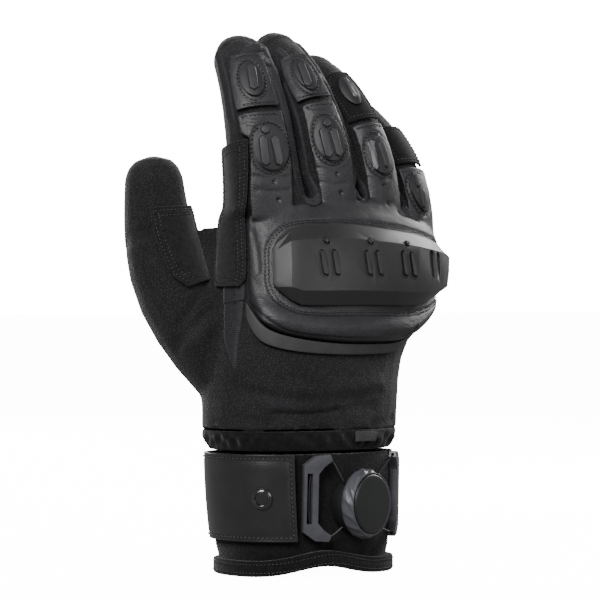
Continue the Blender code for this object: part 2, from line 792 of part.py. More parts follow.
def strap_point(share, turn, out):
    """A point of the strap between its lower and upper edges."""
    return cuff_point(STRAP_BOTTOM + STRAP_HEIGHT * share, turn, out)


STRAP_TOP = SEAT + LEATHER + 0.6
grids = [], []
for share in (0, 0.5, 1):
    for grid, out in zip(grids, (SEAT, STRAP_TOP)):
        grid.append([strap_point(share, turn, out) for turn in STRAP_TURNS])
patch("wrist_strap", *grids)


def disc(frame, radius, height, count):
    """A ring of points round a frame's axis."""
    origin, across, up, axis = frame
    angles = [math.tau * k / count for k in range(count)]
    return [origin + (across * math.cos(a) + up * math.sin(a)) * radius + axis * height for a in angles]


def turned(name, frame, profile, count, origin=Vector((0, 0, 0))):
    """A turned body from a profile of radii and heights that starts and ends on the axis."""
    rings = [disc(frame, radius, height, count) for radius, height in profile[1:-1]]
    centre, axis = frame[0], frame[3]
    return lathe(name, rings, [centre + axis * profile[0][1], centre + axis * profile[-1][1]], origin)


rivet_frame = frame_on(cuff_point, 34.3, -51.2, STRAP_TOP + GAP)
RIVET = [(0, 0), (1.0, 0), (1.0, 0.45), (0.78, 1.25), (0.42, 1.65), (0, 1.75)]
turned("strap_rivet", rivet_frame, [(RIVET_RADIUS * r, h) for r, h in RIVET], 16)
grids = [], []
for share in (0.42, 0.68, 0.94):
    for grid, out in zip(grids, (SEAT + 0.25, SEAT + 1.45)):
        grid.append([gather_point(share, turn, out) for turn in (8.5, 13, 17.5, 22)])
patch("bar_tack", *grids)

# Lace closure: two brackets, the dial on its base, and a lace to each bracket
BRACKET = table(
    "across up",
    (0.00, -0.385),
    (0.42, -0.485),
    (0.91, -0.500),
    (1.00, -0.430),
    (0.72, -0.367),
    (0.50, -0.280),
    (0.50, 0.280),
    (0.72, 0.367),
    (1.00, 0.430),
    (0.91, 0.500),
    (0.42, 0.485),
    (0.00, 0.385),
)
LACE_PATH = table(
    "across up",
    (0.98, 0.462),
    (0.60, 0.420),
    (0.32, 0.345),
    (0.20, 0.240),
    (0.20, -0.240),
    (0.32, -0.345),
    (0.60, -0.420),
    (0.98, -0.462),
)
BRACKET_MIDDLE = (STRAP_BOTTOM + STRAP_HEIGHT / 2)
dial_frame = (
    cuff_point(DIAL_MIDDLE, DIAL_TURN),
    Vector((math.cos(math.radians(DIAL_AXIS)), math.sin(math.radians(DIAL_AXIS)), 0)),
    Vector((0, 0, 1)),
    Vector((math.sin(math.radians(DIAL_AXIS)), -math.cos(math.radians(DIAL_AXIS)), 0)),
)


LACE_EXIT = 9.5
LACE_CLEAR = 1.2


def bracket(side, turn, way):
    """A bracket and the lace that runs through it to the dial. Its arms point towards the dial."""
    origin, across, up, axis = frame_on(cuff_point, BRACKET_MIDDLE, turn, SEAT)
    frame = (origin - across * way * BRACKET_WIDTH / 2, across * way, up, axis)
    outline = [(row["across"] * BRACKET_WIDTH, row["up"] * BRACKET_HEIGHT) for row in BRACKET]
    body = prism(side + "_bracket", outline, frame, 0, BRACKET_THICK)
    opening = [(0.085, -0.29), (0.29, -0.29), (0.29, 0.29), (0.085, 0.29)]
    opening = [(a * BRACKET_WIDTH, u * BRACKET_HEIGHT) for a, u in opening]
    cut(body, prism(side + "_slot", opening, frame, -1, BRACKET_THICK + 1))
    path = [
        frame[0] + frame[1] * row["across"] * BRACKET_WIDTH + up * row["up"] * BRACKET_HEIGHT
        + axis * BRACKET_THICK * 0.5 for row in LACE_PATH
    ]
    ends = []
    for height in (LACE_EXIT, -LACE_EXIT):
        reach = -way * math.sqrt((BASE_RADIUS + LACE_CLEAR) ** 2 - height**2)
        ends.append(dial_frame[0] + dial_frame[1] * reach + up * height + dial_frame[3] * 1.9)
    middle = [path[0].lerp(ends[0], 0.5) + axis * 0.2, path[-1].lerp(ends[1], 0.5) + axis * 0.2]
    path = [ends[0], middle[0]] + path + [middle[1], ends[1]]
    cord(side + "_lace", path, LACE_RADIUS)
    cut(body, cord(side + "_channel", path[1:-1], LACE_RADIUS + GAP))
    return frame


LEFT_TURN = -18.6
RIGHT_TURN = 52.0
bracket("left", LEFT_TURN, 1)
bracket("right", RIGHT_TURN, -1)


def below_dial(frame, radius, angle, out):
    """The place on the sleeve's skin straight below a place of the dial."""
    origin, across, up, axis = frame
    offset, height = radius * math.cos(angle), origin.z + radius * math.sin(angle)
    low, high = -60.0, 75.0
    for _ in range(40):
        turn = (low + high) / 2
        if (cuff_point(height, turn, out) - origin).dot(across) < offset:
            low = turn
        else:
            high = turn
    return cuff_point(height, turn, out)


angles = [math.tau * k / 24 for k in range(24)]
lathe("dial_base", [
    [below_dial(dial_frame, BORE, angle, SEAT) for angle in angles],
    [below_dial(dial_frame, BASE_RADIUS * 0.65, angle, SEAT) for angle in angles],
    [below_dial(dial_frame, BASE_RADIUS, angle, SEAT) for angle in angles],
    disc(dial_frame, BASE_RADIUS, BASE_TOP - 0.6, 24),
    disc(dial_frame, BASE_RADIUS - 0.8, BASE_TOP, 24),
    disc(dial_frame, BORE, BASE_TOP, 24),
])
SPINDLE_RADIUS = BORE - 0.35
dial_centre = dial_frame[0] + dial_frame[3] * BASE_TOP
SPINDLE_FOOT = BASE_TOP - DIAL_TRAVEL - 0.2
SPINDLE_HEAD = BASE_TOP + 3.0
SPINDLE = [
    (0, SPINDLE_FOOT),
    (SPINDLE_RADIUS, SPINDLE_FOOT),
    (SPINDLE_RADIUS, SPINDLE_HEAD),
    (0, SPINDLE_HEAD),
]
turned("dial_spindle", dial_frame, SPINDLE, 16, dial_centre)
KNOB = table(
    "radius height ridge twist",
    (0.212, 3.70, 0, 0),
    (0.212, 0.40, 0, 0),
    (0.955, 0.40, 0, 0),
    (1.000, 1.50, 1, 0),
    (0.955, 4.20, 1, 8),
    (0.885, 5.80, 0, 12),
    (0.845, 5.80, 0, 12),
    (0.845, 4.90, 0, 12),
)
RIDGES = 15
rings = []
for row in KNOB:
    ring = []
    for k in range(2 * RIDGES):
        angle = math.tau * k / (2 * RIDGES) + math.radians(row["twist"])
        radius = DIAL_RADIUS * row["radius"] - (0.8 if k % 2 and row["ridge"] else 0)
        across = dial_frame[1] * math.cos(angle) + dial_frame[2] * math.sin(angle)
        ring.append(dial_centre + across * radius + dial_frame[3] * row["height"])
    rings.append(ring)
lathe(
    "dial_knob", rings,
    [dial_centre + dial_frame[3] * 3.70, dial_centre + dial_frame[3] * 4.90], dial_centre,
)
CAP = [(0, 5.25), (0.82, 5.25), (0.82, 6.1), (0.77, 6.5), (0, 6.5)]
turned(
    "dial_cap", dial_frame, [(DIAL_RADIUS * r, BASE_TOP + h) for r, h in CAP], 32, dial_centre,
)

# Materials: name of each piece, its colour, roughness and metallic share
FINISHES = {
    "softshell": ((0.012, 0.012, 0.014), 0.85, 0.0),
    "leather": ((0.035, 0.034, 0.036), 0.48, 0.0),
    "suede": ((0.010, 0.010, 0.010), 0.95, 0.0),
    "rib": ((0.008, 0.008, 0.010), 0.90, 0.0),
    "guard": ((0.024, 0.024, 0.025), 0.42, 0.0),
    "rubber": ((0.070, 0.069, 0.067), 0.60, 0.0),
    "satin": ((0.105, 0.107, 0.118), 0.38, 0.4),
    "cap": ((0.013, 0.013, 0.014), 0.50, 0.0),
    "gloss": ((0.010, 0.010, 0.011), 0.12, 0.0),
    "woven": ((0.030, 0.030, 0.032), 0.80, 0.0),
}
FINISH_OF = {
    "wrist_sleeve": "softshell", "hem_binding": "softshell", "gather_band": "softshell",
    "hand_shell": "softshell", "thumb_stall": "softshell", "index_stall": "softshell",
    "middle_stall": "softshell", "ring_stall": "softshell", "little_stall": "softshell",
    "ring_tip_panel": "softshell", "little_tip_panel": "softshell", "knuckle_guard": "guard",
    "ledge_flange": "rubber", "index_side_patch": "suede", "thumb_patch": "suede",
    "ribbed_strip": "rib", "strap_rivet": "gloss", "bar_tack": "woven", "left_bracket": "satin",
    "right_bracket": "satin", "dial_base": "cap", "dial_spindle": "satin", "dial_knob": "satin",
    "dial_cap": "cap", "left_lace": "satin", "right_lace": "satin",
}
for made in bpy.data.objects:
    if made.hide_render:
        continue
    finish = FINISH_OF.get(made.name, "guard" if "insert" in made.name else "leather")
    colour, roughness, metallic = FINISHES[finish]
    material = bpy.data.materials.new(made.name + "_" + finish)
    material.use_nodes = True
    shader = material.node_tree.nodes["Principled BSDF"]
    shader.inputs["Base Color"].default_value = (*colour, 1)
    shader.inputs["Roughness"].default_value = roughness
    shader.inputs["Metallic"].default_value = metallic
    made.data.materials.append(material)
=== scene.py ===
"""A motorcycle glove standing on its cuff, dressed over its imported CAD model."""
import math

import bpy
import numpy as np
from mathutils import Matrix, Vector
from mathutils.bvhtree import BVHTree


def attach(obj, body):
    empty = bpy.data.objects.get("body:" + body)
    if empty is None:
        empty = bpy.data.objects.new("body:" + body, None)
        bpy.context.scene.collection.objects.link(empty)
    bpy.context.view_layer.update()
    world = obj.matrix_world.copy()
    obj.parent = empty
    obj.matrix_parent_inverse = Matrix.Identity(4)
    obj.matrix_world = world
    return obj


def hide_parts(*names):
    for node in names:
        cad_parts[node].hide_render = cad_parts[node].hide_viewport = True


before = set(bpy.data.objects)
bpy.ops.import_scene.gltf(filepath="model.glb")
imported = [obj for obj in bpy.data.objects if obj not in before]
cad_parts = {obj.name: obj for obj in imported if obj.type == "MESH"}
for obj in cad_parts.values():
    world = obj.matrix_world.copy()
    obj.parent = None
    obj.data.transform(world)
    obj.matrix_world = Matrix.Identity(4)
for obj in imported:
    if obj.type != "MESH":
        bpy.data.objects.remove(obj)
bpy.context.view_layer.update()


# The room
# A pale floor, a broad soft light high on the thumb's side, a weaker one on the other side and a strip from behind.
# The camera stands well back with a long lens, level with the middle of the glove.

def dyed(code):
    """A colour from its hex code, as the linear values that a socket takes."""
    parts = [int(code[i:i + 2], 16) / 255 for i in (1, 3, 5)]
    return [p / 12.92 if p <= 0.04045 else ((p + 0.055) / 1.055) ** 2.4 for p in parts] + [1.0]


def add(material, kind, values=None, **settings):
    """A node with its settings and its unlinked sockets' values."""
    node = material.node_tree.nodes.new(kind)
    for name, value in settings.items():
        setattr(node, name, value)
    for name, value in (values or {}).items():
        node.inputs[name].default_value = value
    return node


def join(material, giver, output, taker, entry):
    """Leads one node's output into another's socket."""
    material.node_tree.links.new(giver.outputs[output], taker.inputs[entry])


def finish(name, roughness, specular, sheen=0.0, coat=0.0):
    """A material with its shader, whose even values are on its own sockets."""
    material = bpy.data.materials.new(name)
    material.use_nodes = True
    material.node_tree.nodes.clear()
    shader = add(material, "ShaderNodeBsdfPrincipled", {
        "Roughness": roughness, "Specular IOR Level": specular,
        "Sheen Weight": sheen, "Sheen Roughness": 0.45, "Coat Weight": coat, "Coat Roughness": 0.12})
    out = add(material, "ShaderNodeOutputMaterial")
    join(material, shader, "BSDF", out, "Surface")
    return material, shader


def mottled(material, shader, dark, light, size, detail=4.0):
    """Colour that wanders between two shades over patches of this size in metres."""
    place = add(material, "ShaderNodeTexCoord")
    noise = add(material, "ShaderNodeTexNoise", {"Scale": 1 / size, "Detail": detail, "Roughness": 0.6})
    ramp = add(material, "ShaderNodeValToRGB")
    ramp.color_ramp.elements[0].position, ramp.color_ramp.elements[0].color = 0.34, dyed(dark)
    ramp.color_ramp.elements[1].position, ramp.color_ramp.elements[1].color = 0.68, dyed(light)
    join(material, place, "Object", noise, "Vector")
    join(material, noise, "Fac", ramp, "Fac")
    join(material, ramp, "Color", shader, "Base Color")
    return place, ramp


def raised(material, shader, texture, output, height, under=None):
    """A bump of this height in metres from a texture, laid over the bump that is under it."""
    bump = add(material, "ShaderNodeBump", {"Strength": 1.0, "Distance": height})
    join(material, texture, output, bump, "Height")
    if under:
        join(material, under, "Normal", bump, "Normal")
    join(material, bump, "Normal", shader, "Normal")
    return bump


def grained(material, shader, place, height, kind, values, output="Fac", **settings):
    """A bump of this height in metres from a new texture that reads the piece's own place."""
    texture = add(material, kind, values, **settings)
    join(material, place, "Object", texture, "Vector")
    return raised(material, shader, texture, output, height)


floor_paint, shader = finish("matt_white_floor", 0.85, 0.2)
mottled(floor_paint, shader, "#f4f4f4", "#fafafa", 0.4)
shader.inputs["Emission Color"].default_value = dyed("#ffffff")
shader.inputs["Emission Strength"].default_value = 14.0
bpy.ops.object.select_all(action="DESELECT")
bpy.ops.mesh.primitive_plane_add(size=40, location=(0, 0, -0.0004))
floor = bpy.context.object
floor.name = "floor"
bpy.ops.object.transform_apply(location=True)
floor.data.materials.append(floor_paint)
floor.visible_diffuse = False
floor.visible_glossy = False

world = bpy.data.worlds.new("white_room")
world.use_nodes = True
world.node_tree.nodes["Background"].inputs["Color"].default_value = dyed("#ffffff")
glow = world.node_tree.nodes["Background"]
behind = world.node_tree.nodes.new("ShaderNodeLightPath")
level = world.node_tree.nodes.new("ShaderNodeMapRange")
level.inputs["To Min"].default_value = 0.4
level.inputs["To Max"].default_value = 16.0
world.node_tree.links.new(behind.outputs["Is Camera Ray"], level.inputs["Value"])
world.node_tree.links.new(level.outputs["Result"], glow.inputs["Strength"])
bpy.context.scene.world = world

for name, place, size, power in (
        ("key_softbox", (-1.05, -0.75, 1.0), 0.7, 32),
        ("front_fill", (0.35, -1.3, 0.55), 0.8, 5),
        ("right_strip", (0.9, 0.2, 0.6), 0.5, 9),
        ("palm_softbox", (0.35, 1.4, 0.75), 1.0, 16)):
    bpy.ops.object.light_add(type="AREA", location=place)
    lamp = bpy.context.object
    lamp.name = name
    lamp.data.shape = "DISK"
    lamp.data.size = size
    lamp.data.energy = power
    lamp.rotation_euler = (Vector((0, 0, 0.12)) - Vector(place)).to_track_quat("-Z", "Y").to_euler()

AWAY = 1.3
AHEAD = Vector((0.588, 0.809, 0))
RIGHT = Vector((0.809, -0.588, 0))
AIM = RIGHT * -0.0024 + Vector((0, 0, 0.1192))
FRAME = 600
PIXEL = 0.264 / FRAME
SENSOR = 36
bpy.ops.object.camera_add(location=AIM - AHEAD * AWAY, rotation=(math.pi / 2, 0, -math.radians(36)))
camera = bpy.context.object
camera.name = "camera"
camera.data.lens = SENSOR * AWAY / (PIXEL * FRAME)
camera.data.sensor_width = SENSOR
camera.data.clip_start = 0.05
bpy.context.scene.camera = camera


# The softshell hand
# One stretchy glove of matt knitted softshell: hand, thumb and four fingers, cut and sewn to one skin.
# It is made from the CAD skins: plugged at the finger roots, patched on the palm side, closed up to one surface,
# smoothed, creased and given its own thickness.

def alone(piece):
    """Selects this piece and nothing else."""
    bpy.ops.object.select_all(action="DESELECT")
    piece.select_set(True)
    bpy.context.view_layer.objects.active = piece
    return piece


def copy_of(name, *nodes):
    """A new piece with the merged surfaces of these CAD nodes."""
    copies = []
    for node in nodes:
        made = bpy.data.objects.new(name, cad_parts[node].data.copy())
        made.data.materials.clear()
        bpy.context.scene.collection.objects.link(made)
        copies.append(made)
    alone(copies[0])
    for made in copies:
        made.select_set(True)
    if len(copies) > 1:
        bpy.ops.object.join()
    bpy.ops.object.mode_set(mode="EDIT")
    bpy.ops.mesh.select_all(action="SELECT")
    bpy.ops.mesh.remove_doubles(threshold=0.00001)
    bpy.ops.object.mode_set(mode="OBJECT")
    copies[0].name = name
    return copies[0]


def built(name, corners, faces):
    """A new piece with these corners and faces."""
    mesh = bpy.data.meshes.new(name)
    mesh.from_pydata(corners, [], faces)
    piece = bpy.data.objects.new(name, mesh)
    bpy.context.scene.collection.objects.link(piece)
    return piece


def turned_out(piece):
    """Turns all of the piece's faces outwards."""
    alone(piece)
    bpy.ops.object.mode_set(mode="EDIT")
    bpy.ops.mesh.select_all(action="SELECT")
    bpy.ops.mesh.normals_make_consistent(inside=False)
    bpy.ops.object.mode_set(mode="OBJECT")


def modified(piece, kind, **settings):
    """Adds a modifier with these settings and applies it."""
    alone(piece)
    modifier = piece.modifiers.new(kind.lower(), kind)
    for name, value in settings.items():
        setattr(modifier, name, value)
    bpy.ops.object.modifier_apply(modifier=modifier.name)
    return piece


def tree_of(piece):
    """The piece's surface, ready to be asked for its nearest point."""
    mesh = piece.data
    return BVHTree.FromPolygons([v.co for v in mesh.vertices], [p.vertices for p in mesh.polygons])


def edit_faces(piece, chosen):
    """Opens the piece in edit mode with only the chosen faces selected."""
    alone(piece)
    bpy.ops.object.mode_set(mode="EDIT")
    bpy.ops.mesh.select_mode(type="FACE")
    bpy.ops.mesh.select_all(action="DESELECT")
    bpy.ops.object.mode_set(mode="OBJECT")
    for face in piece.data.polygons:
        face.select = bool(chosen(face))
    bpy.ops.object.mode_set(mode="EDIT")


CUFF_TOP, KNUCKLES = 0.066, 0.125
INTO_FINGERS, INTO_THUMB = Vector((0, 0, 0.006)), Vector((-0.0022, 0.0019, 0.006))


def outer_skin(node, drop):
    """A closed copy of a hollow node's outer skin, its open end drawn out by drop, or into the fingers and thumb."""
    piece = copy_of(node + "_skin", node)
    tree = tree_of(piece)
    edit_faces(piece, lambda face: tree.ray_cast(face.center + face.normal * 0.0004, face.normal, 0.07)[0])
    bpy.ops.mesh.delete(type="FACE")
    bpy.ops.mesh.select_mode(type="EDGE")
    bpy.ops.mesh.select_all(action="DESELECT")
    bpy.ops.mesh.select_non_manifold()
    bpy.ops.mesh.extrude_edges_move(TRANSFORM_OT_translate={"value": drop})
    bpy.ops.object.mode_set(mode="OBJECT")
    for vertex in piece.data.vertices:
        if vertex.select and node == "hand_shell" and vertex.co.z > KNUCKLES:
            vertex.co += INTO_FINGERS
        elif vertex.select and node == "hand_shell" and vertex.co.z > CUFF_TOP:
            vertex.co += INTO_THUMB
    bpy.ops.object.mode_set(mode="EDIT")
    bpy.ops.mesh.edge_face_add()
    bpy.ops.mesh.select_all(action="SELECT")
    bpy.ops.mesh.normals_make_consistent(inside=False)
    bpy.ops.object.mode_set(mode="OBJECT")
    return piece


FINGERS = {
    "index": (-0.279, ((-19.1, 3.3, 159.3), (-19.8, 4.6, 176.1), (-20.1, 7.5, 192.6), (-19.5, 13.6, 208.2),
                       (-17.5, 23.2, 221.8), (-15.7, 30.3, 228.7))),
    "middle": (-0.07, ((9.5, -1.6, 160.5), (8.6, 0.9, 178.4), (7.8, 6.2, 195.6), (7.4, 15.5, 211.1),
                       (7.3, 28.0, 224.1), (7.5, 36.7, 230.6))),
    "ring": (0.175, ((33.1, -1.0, 159.7), (32.8, 2.3, 175.8), (32.0, 8.1, 191.1), (30.5, 17.0, 204.7),
                     (28.6, 28.5, 216.2), (27.3, 36.5, 221.9))),
    "little": (0.419, ((56.2, 3.6, 155.4), (55.8, 7.1, 167.7), (55.0, 12.0, 179.4), (53.1, 18.8, 190.1),
                       (50.3, 27.1, 199.5), (48.3, 32.6, 204.4))),
    "thumb": (-0.349, ((-27.6, 9.2, 74.8), (-38.1, 18.3, 93.9), (-46.7, 27.2, 114.0), (-52.8, 33.0, 135.9),
                       (-55.7, 35.3, 159.2), (-56.4, 36.1, 173.3))),
}
SKINS = (
    ("hand_shell", (0, 0, -0.002)), ("thumb_stall", (0.002, -0.001, -0.004)), ("index_stall", (0, 0.0005, -0.004)),
    ("middle_stall", (0, 0.0005, -0.004)), ("ring_stall", (0, 0.0005, -0.004)), ("little_stall", (0, 0.0005, -0.004)))
skins = [outer_skin(node, drop) for node, drop in SKINS]
glove = alone(skins[0])
for skin in skins:
    skin.select_set(True)
bpy.ops.object.join()
glove.name = "softshell_glove"
walls = tree_of(glove)
plugs, roots = [glove], []
for roll, line in FINGERS.values():
    low, high = Vector(line[0]) / 1000, Vector(line[1]) / 1000
    across = Vector((math.cos(roll), math.sin(roll), 0))
    outward = across.cross(high - low).normalized()
    roots.append(low)
    for share in (-0.3, -0.1, 0.1, 0.3, 0.5, 0.7):
        middle = low.lerp(high, share)
        ways = [across * math.sin(turn) + outward * math.cos(turn) for turn in np.arange(0, math.tau, 0.4)]
        reaches = [walls.ray_cast(middle, way)[3] for way in ways]
        reach = min([r for r in reaches if r and r > 0.005] + [0.011])
        bpy.ops.mesh.primitive_uv_sphere_add(segments=32, ring_count=16, radius=reach - 0.0002, location=middle)
        plugs.append(bpy.context.object)
        bpy.ops.object.transform_apply(location=True)
PATCHES = ((-0.004, 0.039, 0.1440, 0.1650), (-0.0445, -0.0290, 0.0660, 0.0850))
PLACES = np.linspace(0, 1, 13)
PATCH_DEPTH = 0.004
for left, right, bottom, top in PATCHES:

    def depth_at(share, rise):
        """How far back the palm's skin lies at a place of the patch."""
        spot = Vector((left + (right - left) * share, 0.2, bottom + (top - bottom) * rise))
        struck = walls.ray_cast(spot, Vector((0, -1, 0)))[0]
        return struck.y if struck else 0.0

    sides = {(share, rise): depth_at(share, rise) for share in PLACES for rise in PLACES
             if share in (0, 1) or rise in (0, 1)}
    outer, inner = [], []
    for share in PLACES:
        for rise in PLACES:
            between = (sides[share, 0] * (1 - rise) + sides[share, 1] * rise
                       + sides[0, rise] * (1 - share) + sides[1, rise] * share
                       - sides[0, 0] * (1 - share) * (1 - rise) - sides[1, 0] * share * (1 - rise)
                       - sides[0, 1] * (1 - share) * rise - sides[1, 1] * share * rise)
            spot = Vector((left + (right - left) * share, between, bottom + (top - bottom) * rise))
            outer.append(spot)
            inner.append(spot - Vector((0, PATCH_DEPTH, 0)))
    count = len(outer)
    faces = []
    for k in range(12):
        for c in range(12):
            quad = [13 * k + c, 13 * k + c + 1, 13 * k + c + 14, 13 * k + c + 13]
            faces += [quad, [v + count for v in quad[::-1]]]
        for a, b in ((13 * k, 13 * k + 13), (13 * k + 25, 13 * k + 12), (k + 1, k), (156 + k, 157 + k)):
            faces.append([a, b, b + count, a + count])
    plugs.append(built("palm_patch", outer + inner, faces))
    turned_out(plugs[-1])
alone(glove)
for plug in plugs:
    plug.select_set(True)
bpy.ops.object.join()
modified(glove, "REMESH", mode="VOXEL", voxel_size=0.0013)
modified(glove, "SMOOTH", factor=0.5, iterations=5)
places = np.array([vertex.co for vertex in glove.data.vertices])
gap = np.min([np.linalg.norm(places - np.array(root + Vector((0, 0.008, 0))), axis=1) for root in roots], axis=0)
weights = np.clip((0.017 - gap) / 0.005, 0, 1) * (places[:, 1] > 0.004)
# Only the skin round the finger roots on the palm side is smoothed further, where plugs and stalls meet
seam_group = glove.vertex_groups.new(name="seams")
for k in np.nonzero(weights)[0]:
    seam_group.add([int(k)], float(weights[k]), "REPLACE")
modified(glove, "SMOOTH", factor=0.5, iterations=30, vertex_group="seams")
skin = tree_of(glove)


def out_of_hand(point):
    """The way out of the softshell at its place nearest to a point."""
    return skin.find_nearest(point)[1]


def seen(x, y, tree):
    """The point and normal that the camera sees at a place of the photograph's 600 by 600 frame."""
    way = AHEAD * AWAY + RIGHT * (x - FRAME / 2) * PIXEL - Vector((0, 0, 1)) * (y - FRAME / 2) * PIXEL
    point, normal = tree.ray_cast(camera.location, way)[:2]
    if point is None:
        beside = skin.ray_cast(camera.location, way)[0] or camera.location + way
        point, normal = tree.find_nearest(beside)[:2]
    return point, normal


def on_finger(name, share, turn):
    """The place on a finger's skin at a share of its length, turned by degrees from its back."""
    roll, line = FINGERS[name]
    step = min(share / 0.2, 4.0) + max(share - 0.8, 0) / 0.12
    k = min(int(step), 4)
    low, high = Vector(line[k]) / 1000, Vector(line[k + 1]) / 1000
    across = Vector((math.cos(roll), math.sin(roll), 0))
    back = across.cross(high - low).normalized()
    way = across * math.sin(math.radians(turn)) + back * math.cos(math.radians(turn))
    return skin.ray_cast(low.lerp(high, step - k), way)[0]


def evenly(line, pitch, closed=True):
    """The line's points moved to an even distance from each other."""
    points = np.array(list(line) + list(line[:1]) if closed else list(line))
    run = np.concatenate([[0], np.cumsum(np.linalg.norm(np.diff(points, axis=0), axis=1))])
    count = max(int(run[-1] / pitch), 3)
    at = np.linspace(0, run[-1], count + 1)
    even = np.stack([np.interp(at, run, points[:, k]) for k in range(3)], 1)
    return even[:-1] if closed else even


def eased_line(line, pitch, repeats):
    """An open line with its corners rounded, its ends held."""
    points = evenly(line, pitch, closed=False)
    for repeat in range(repeats):
        points[1:-1] = (points[:-2] + points[1:-1] * 2 + points[2:]) / 4
    return points


def pressed(piece, line, width, depth, pitch=0.0004, closed=True):
    """Presses a soft groove into the piece along a line, or raises a fold where the depth is below zero."""
    path = evenly(line, pitch, closed)
    mesh = piece.data
    places, normals = np.zeros(len(mesh.vertices) * 3), np.zeros(len(mesh.vertices) * 3)
    mesh.vertices.foreach_get("co", places)
    mesh.vertex_normals.foreach_get("vector", normals)
    places, normals = places.reshape(-1, 3), normals.reshape(-1, 3)
    gap = np.full(len(places), 1.0)
    for k in range(0, len(path), 12):
        part = path[k:k + 13]
        low, high = part.min(0) - 3 * width, part.max(0) + 3 * width
        near = np.where(((places > low) & (places < high)).all(1))[0]
        away = np.sqrt(((places[near][:, None] - part[None]) ** 2).sum(2).min(1))
        gap[near] = np.minimum(gap[near], away)
    places -= normals * (depth * np.exp(-(gap / width) ** 2))[:, None]
    mesh.vertices.foreach_set("co", places.ravel())
    mesh.update()


FOLDS = (
    (0.0017, 0.0011, (275, 414), (300, 415.5), (322, 413.5), (336, 411)),
    (0.0020, -0.0006, (272, 408), (300, 409.5), (322, 408), (345, 405)),
    (0.0018, 0.0006, (334, 410.5), (352, 407.5), (372, 405)),
    (0.0024, 0.0007, (252, 391), (270, 396), (292, 400), (306, 399.5)),
    (0.0026, -0.0005, (250, 384), (270, 388), (300, 391), (330, 392)),
    (0.0022, 0.0006, (318, 402), (340, 400), (364, 396), (380, 391)),
    (0.0030, -0.0006, (330, 384), (352, 386), (378, 381)),
    (0.0020, 0.0007, (372, 425), (386, 423), (398, 418)),
    (0.0016, 0.0006, (214, 424), (232, 420), (250, 421), (268, 424)),
    (0.0020, 0.0006, (300, 424), (322, 421), (346, 423)),
    (0.0022, 0.0012, (202, 293), (192, 308), (184, 318), (178, 326)),
    (0.0030, 0.0012, (207, 312), (196, 323), (184, 334), (176, 345)),
    (0.0030, -0.0008, (213, 318), (202, 332), (190, 346)),
    (0.0022, 0.0006, (212, 340), (206, 356), (204, 372)),
    (0.0013, 0.0006, (237.2, 430), (236.5, 405), (235.7, 379)),
    (0.0010, 0.0003, (224, 47), (230.6, 40.4), (239.8, 38), (250.5, 40.4), (256.2, 47)),
    (0.0010, 0.0003, (267.8, 46), (276.6, 39), (287.3, 38.3), (298, 42.9)),
    (0.0013, 0.0005, (316.4, 57.5), (328.6, 54.5), (336.3, 58)),
    (0.0014, 0.0008, (125, 249.5), (131, 243), (140, 238.5), (152, 237)),
    (0.0014, 0.0008, (125, 241), (131, 235.5), (140, 231.5), (150, 230)),
)
for width, depth, *places in FOLDS:
    pressed(glove, eased_line([seen(x, y, skin)[0] for x, y in places], 0.0006, 12), width, depth * 1.4, closed=False)
for name, bends in (("index", (0.22, 0.42, 0.64)), ("middle", (0.22, 0.42, 0.62)), ("ring", (0.22, 0.42, 0.62)),
                    ("little", (0.24, 0.44, 0.62)), ("thumb", (0.5, 0.72))):
    for share in bends:
        line = [on_finger(name, share + 0.012 * math.cos(turn / 9), turn) for turn in range(118, 243, 8)]
        pressed(glove, eased_line(line, 0.0006, 6), 0.0016, 0.0009, closed=False)
PALM_FOLDS = (
    ((-0.030, 0.092), (-0.016, 0.100), (-0.008, 0.116), (-0.012, 0.138)),
    ((-0.024, 0.140), (0.004, 0.132), (0.032, 0.136), (0.052, 0.146)),
    ((-0.018, 0.150), (0.012, 0.146), (0.040, 0.150)),
    ((-0.032, 0.078), (-0.006, 0.084), (0.022, 0.080)),
)
for places in PALM_FOLDS:
    line = [skin.ray_cast(Vector((x, 0.2, z)), Vector((0, -1, 0)))[0] for x, z in places]
    pressed(glove, eased_line(line, 0.0008, 20), 0.0022, 0.001, closed=False)
modified(glove, "SMOOTH", factor=0.4, iterations=1)
edit_faces(glove, lambda face: face.center.z < 0.0634 and face.normal.z < -0.5)
bpy.ops.mesh.delete(type="FACE")
bpy.ops.object.mode_set(mode="OBJECT")
modified(glove, "SOLIDIFY", thickness=0.0012, offset=-1)
modified(glove, "DECIMATE", ratio=0.72)
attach(glove, "glove")
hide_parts(*[node for node, drop in SKINS])
softshell, shader = finish("knitted_softshell", 0.82, 0.2, sheen=0.14)
place, ramp = mottled(softshell, shader, "#0c0c0d", "#161618", 0.02, 8)
knit = add(softshell, "ShaderNodeTexVoronoi", {"Scale": 1150.0, "Randomness": 0.7})
lint = add(softshell, "ShaderNodeTexNoise", {"Scale": 700.0, "Detail": 6.0})
for texture in (knit, lint):
    join(softshell, place, "Object", texture, "Vector")
dots = add(softshell, "ShaderNodeValToRGB")
dots.color_ramp.elements[0].position, dots.color_ramp.elements[0].color = 0.12, dyed("#262628")
dots.color_ramp.elements[1].position, dots.color_ramp.elements[1].color = 0.42, dyed("#000000")
both = add(softshell, "ShaderNodeMix", data_type="RGBA", blend_type="ADD")
both.inputs[0].default_value = 1.0
join(softshell, knit, "Distance", dots, "Fac")
join(softshell, ramp, "Color", both, 6)
join(softshell, dots, "Color", both, 7)
join(softshell, both, 2, shader, "Base Color")
under = raised(softshell, shader, knit, "Distance", 0.0003)
raised(softshell, shader, lint, "Fac", 0.00015, under)
glove.data.materials.append(softshell)
alone(glove)
bpy.ops.object.shade_smooth()


# The ribbed fourchettes
# Strips of ribbed stretch knit along the fingers' sides, running down one finger, round the crotch and up the next.
# Each is a flat rounded band laid on the softshell, its ribs a millimetre apart and right across it.

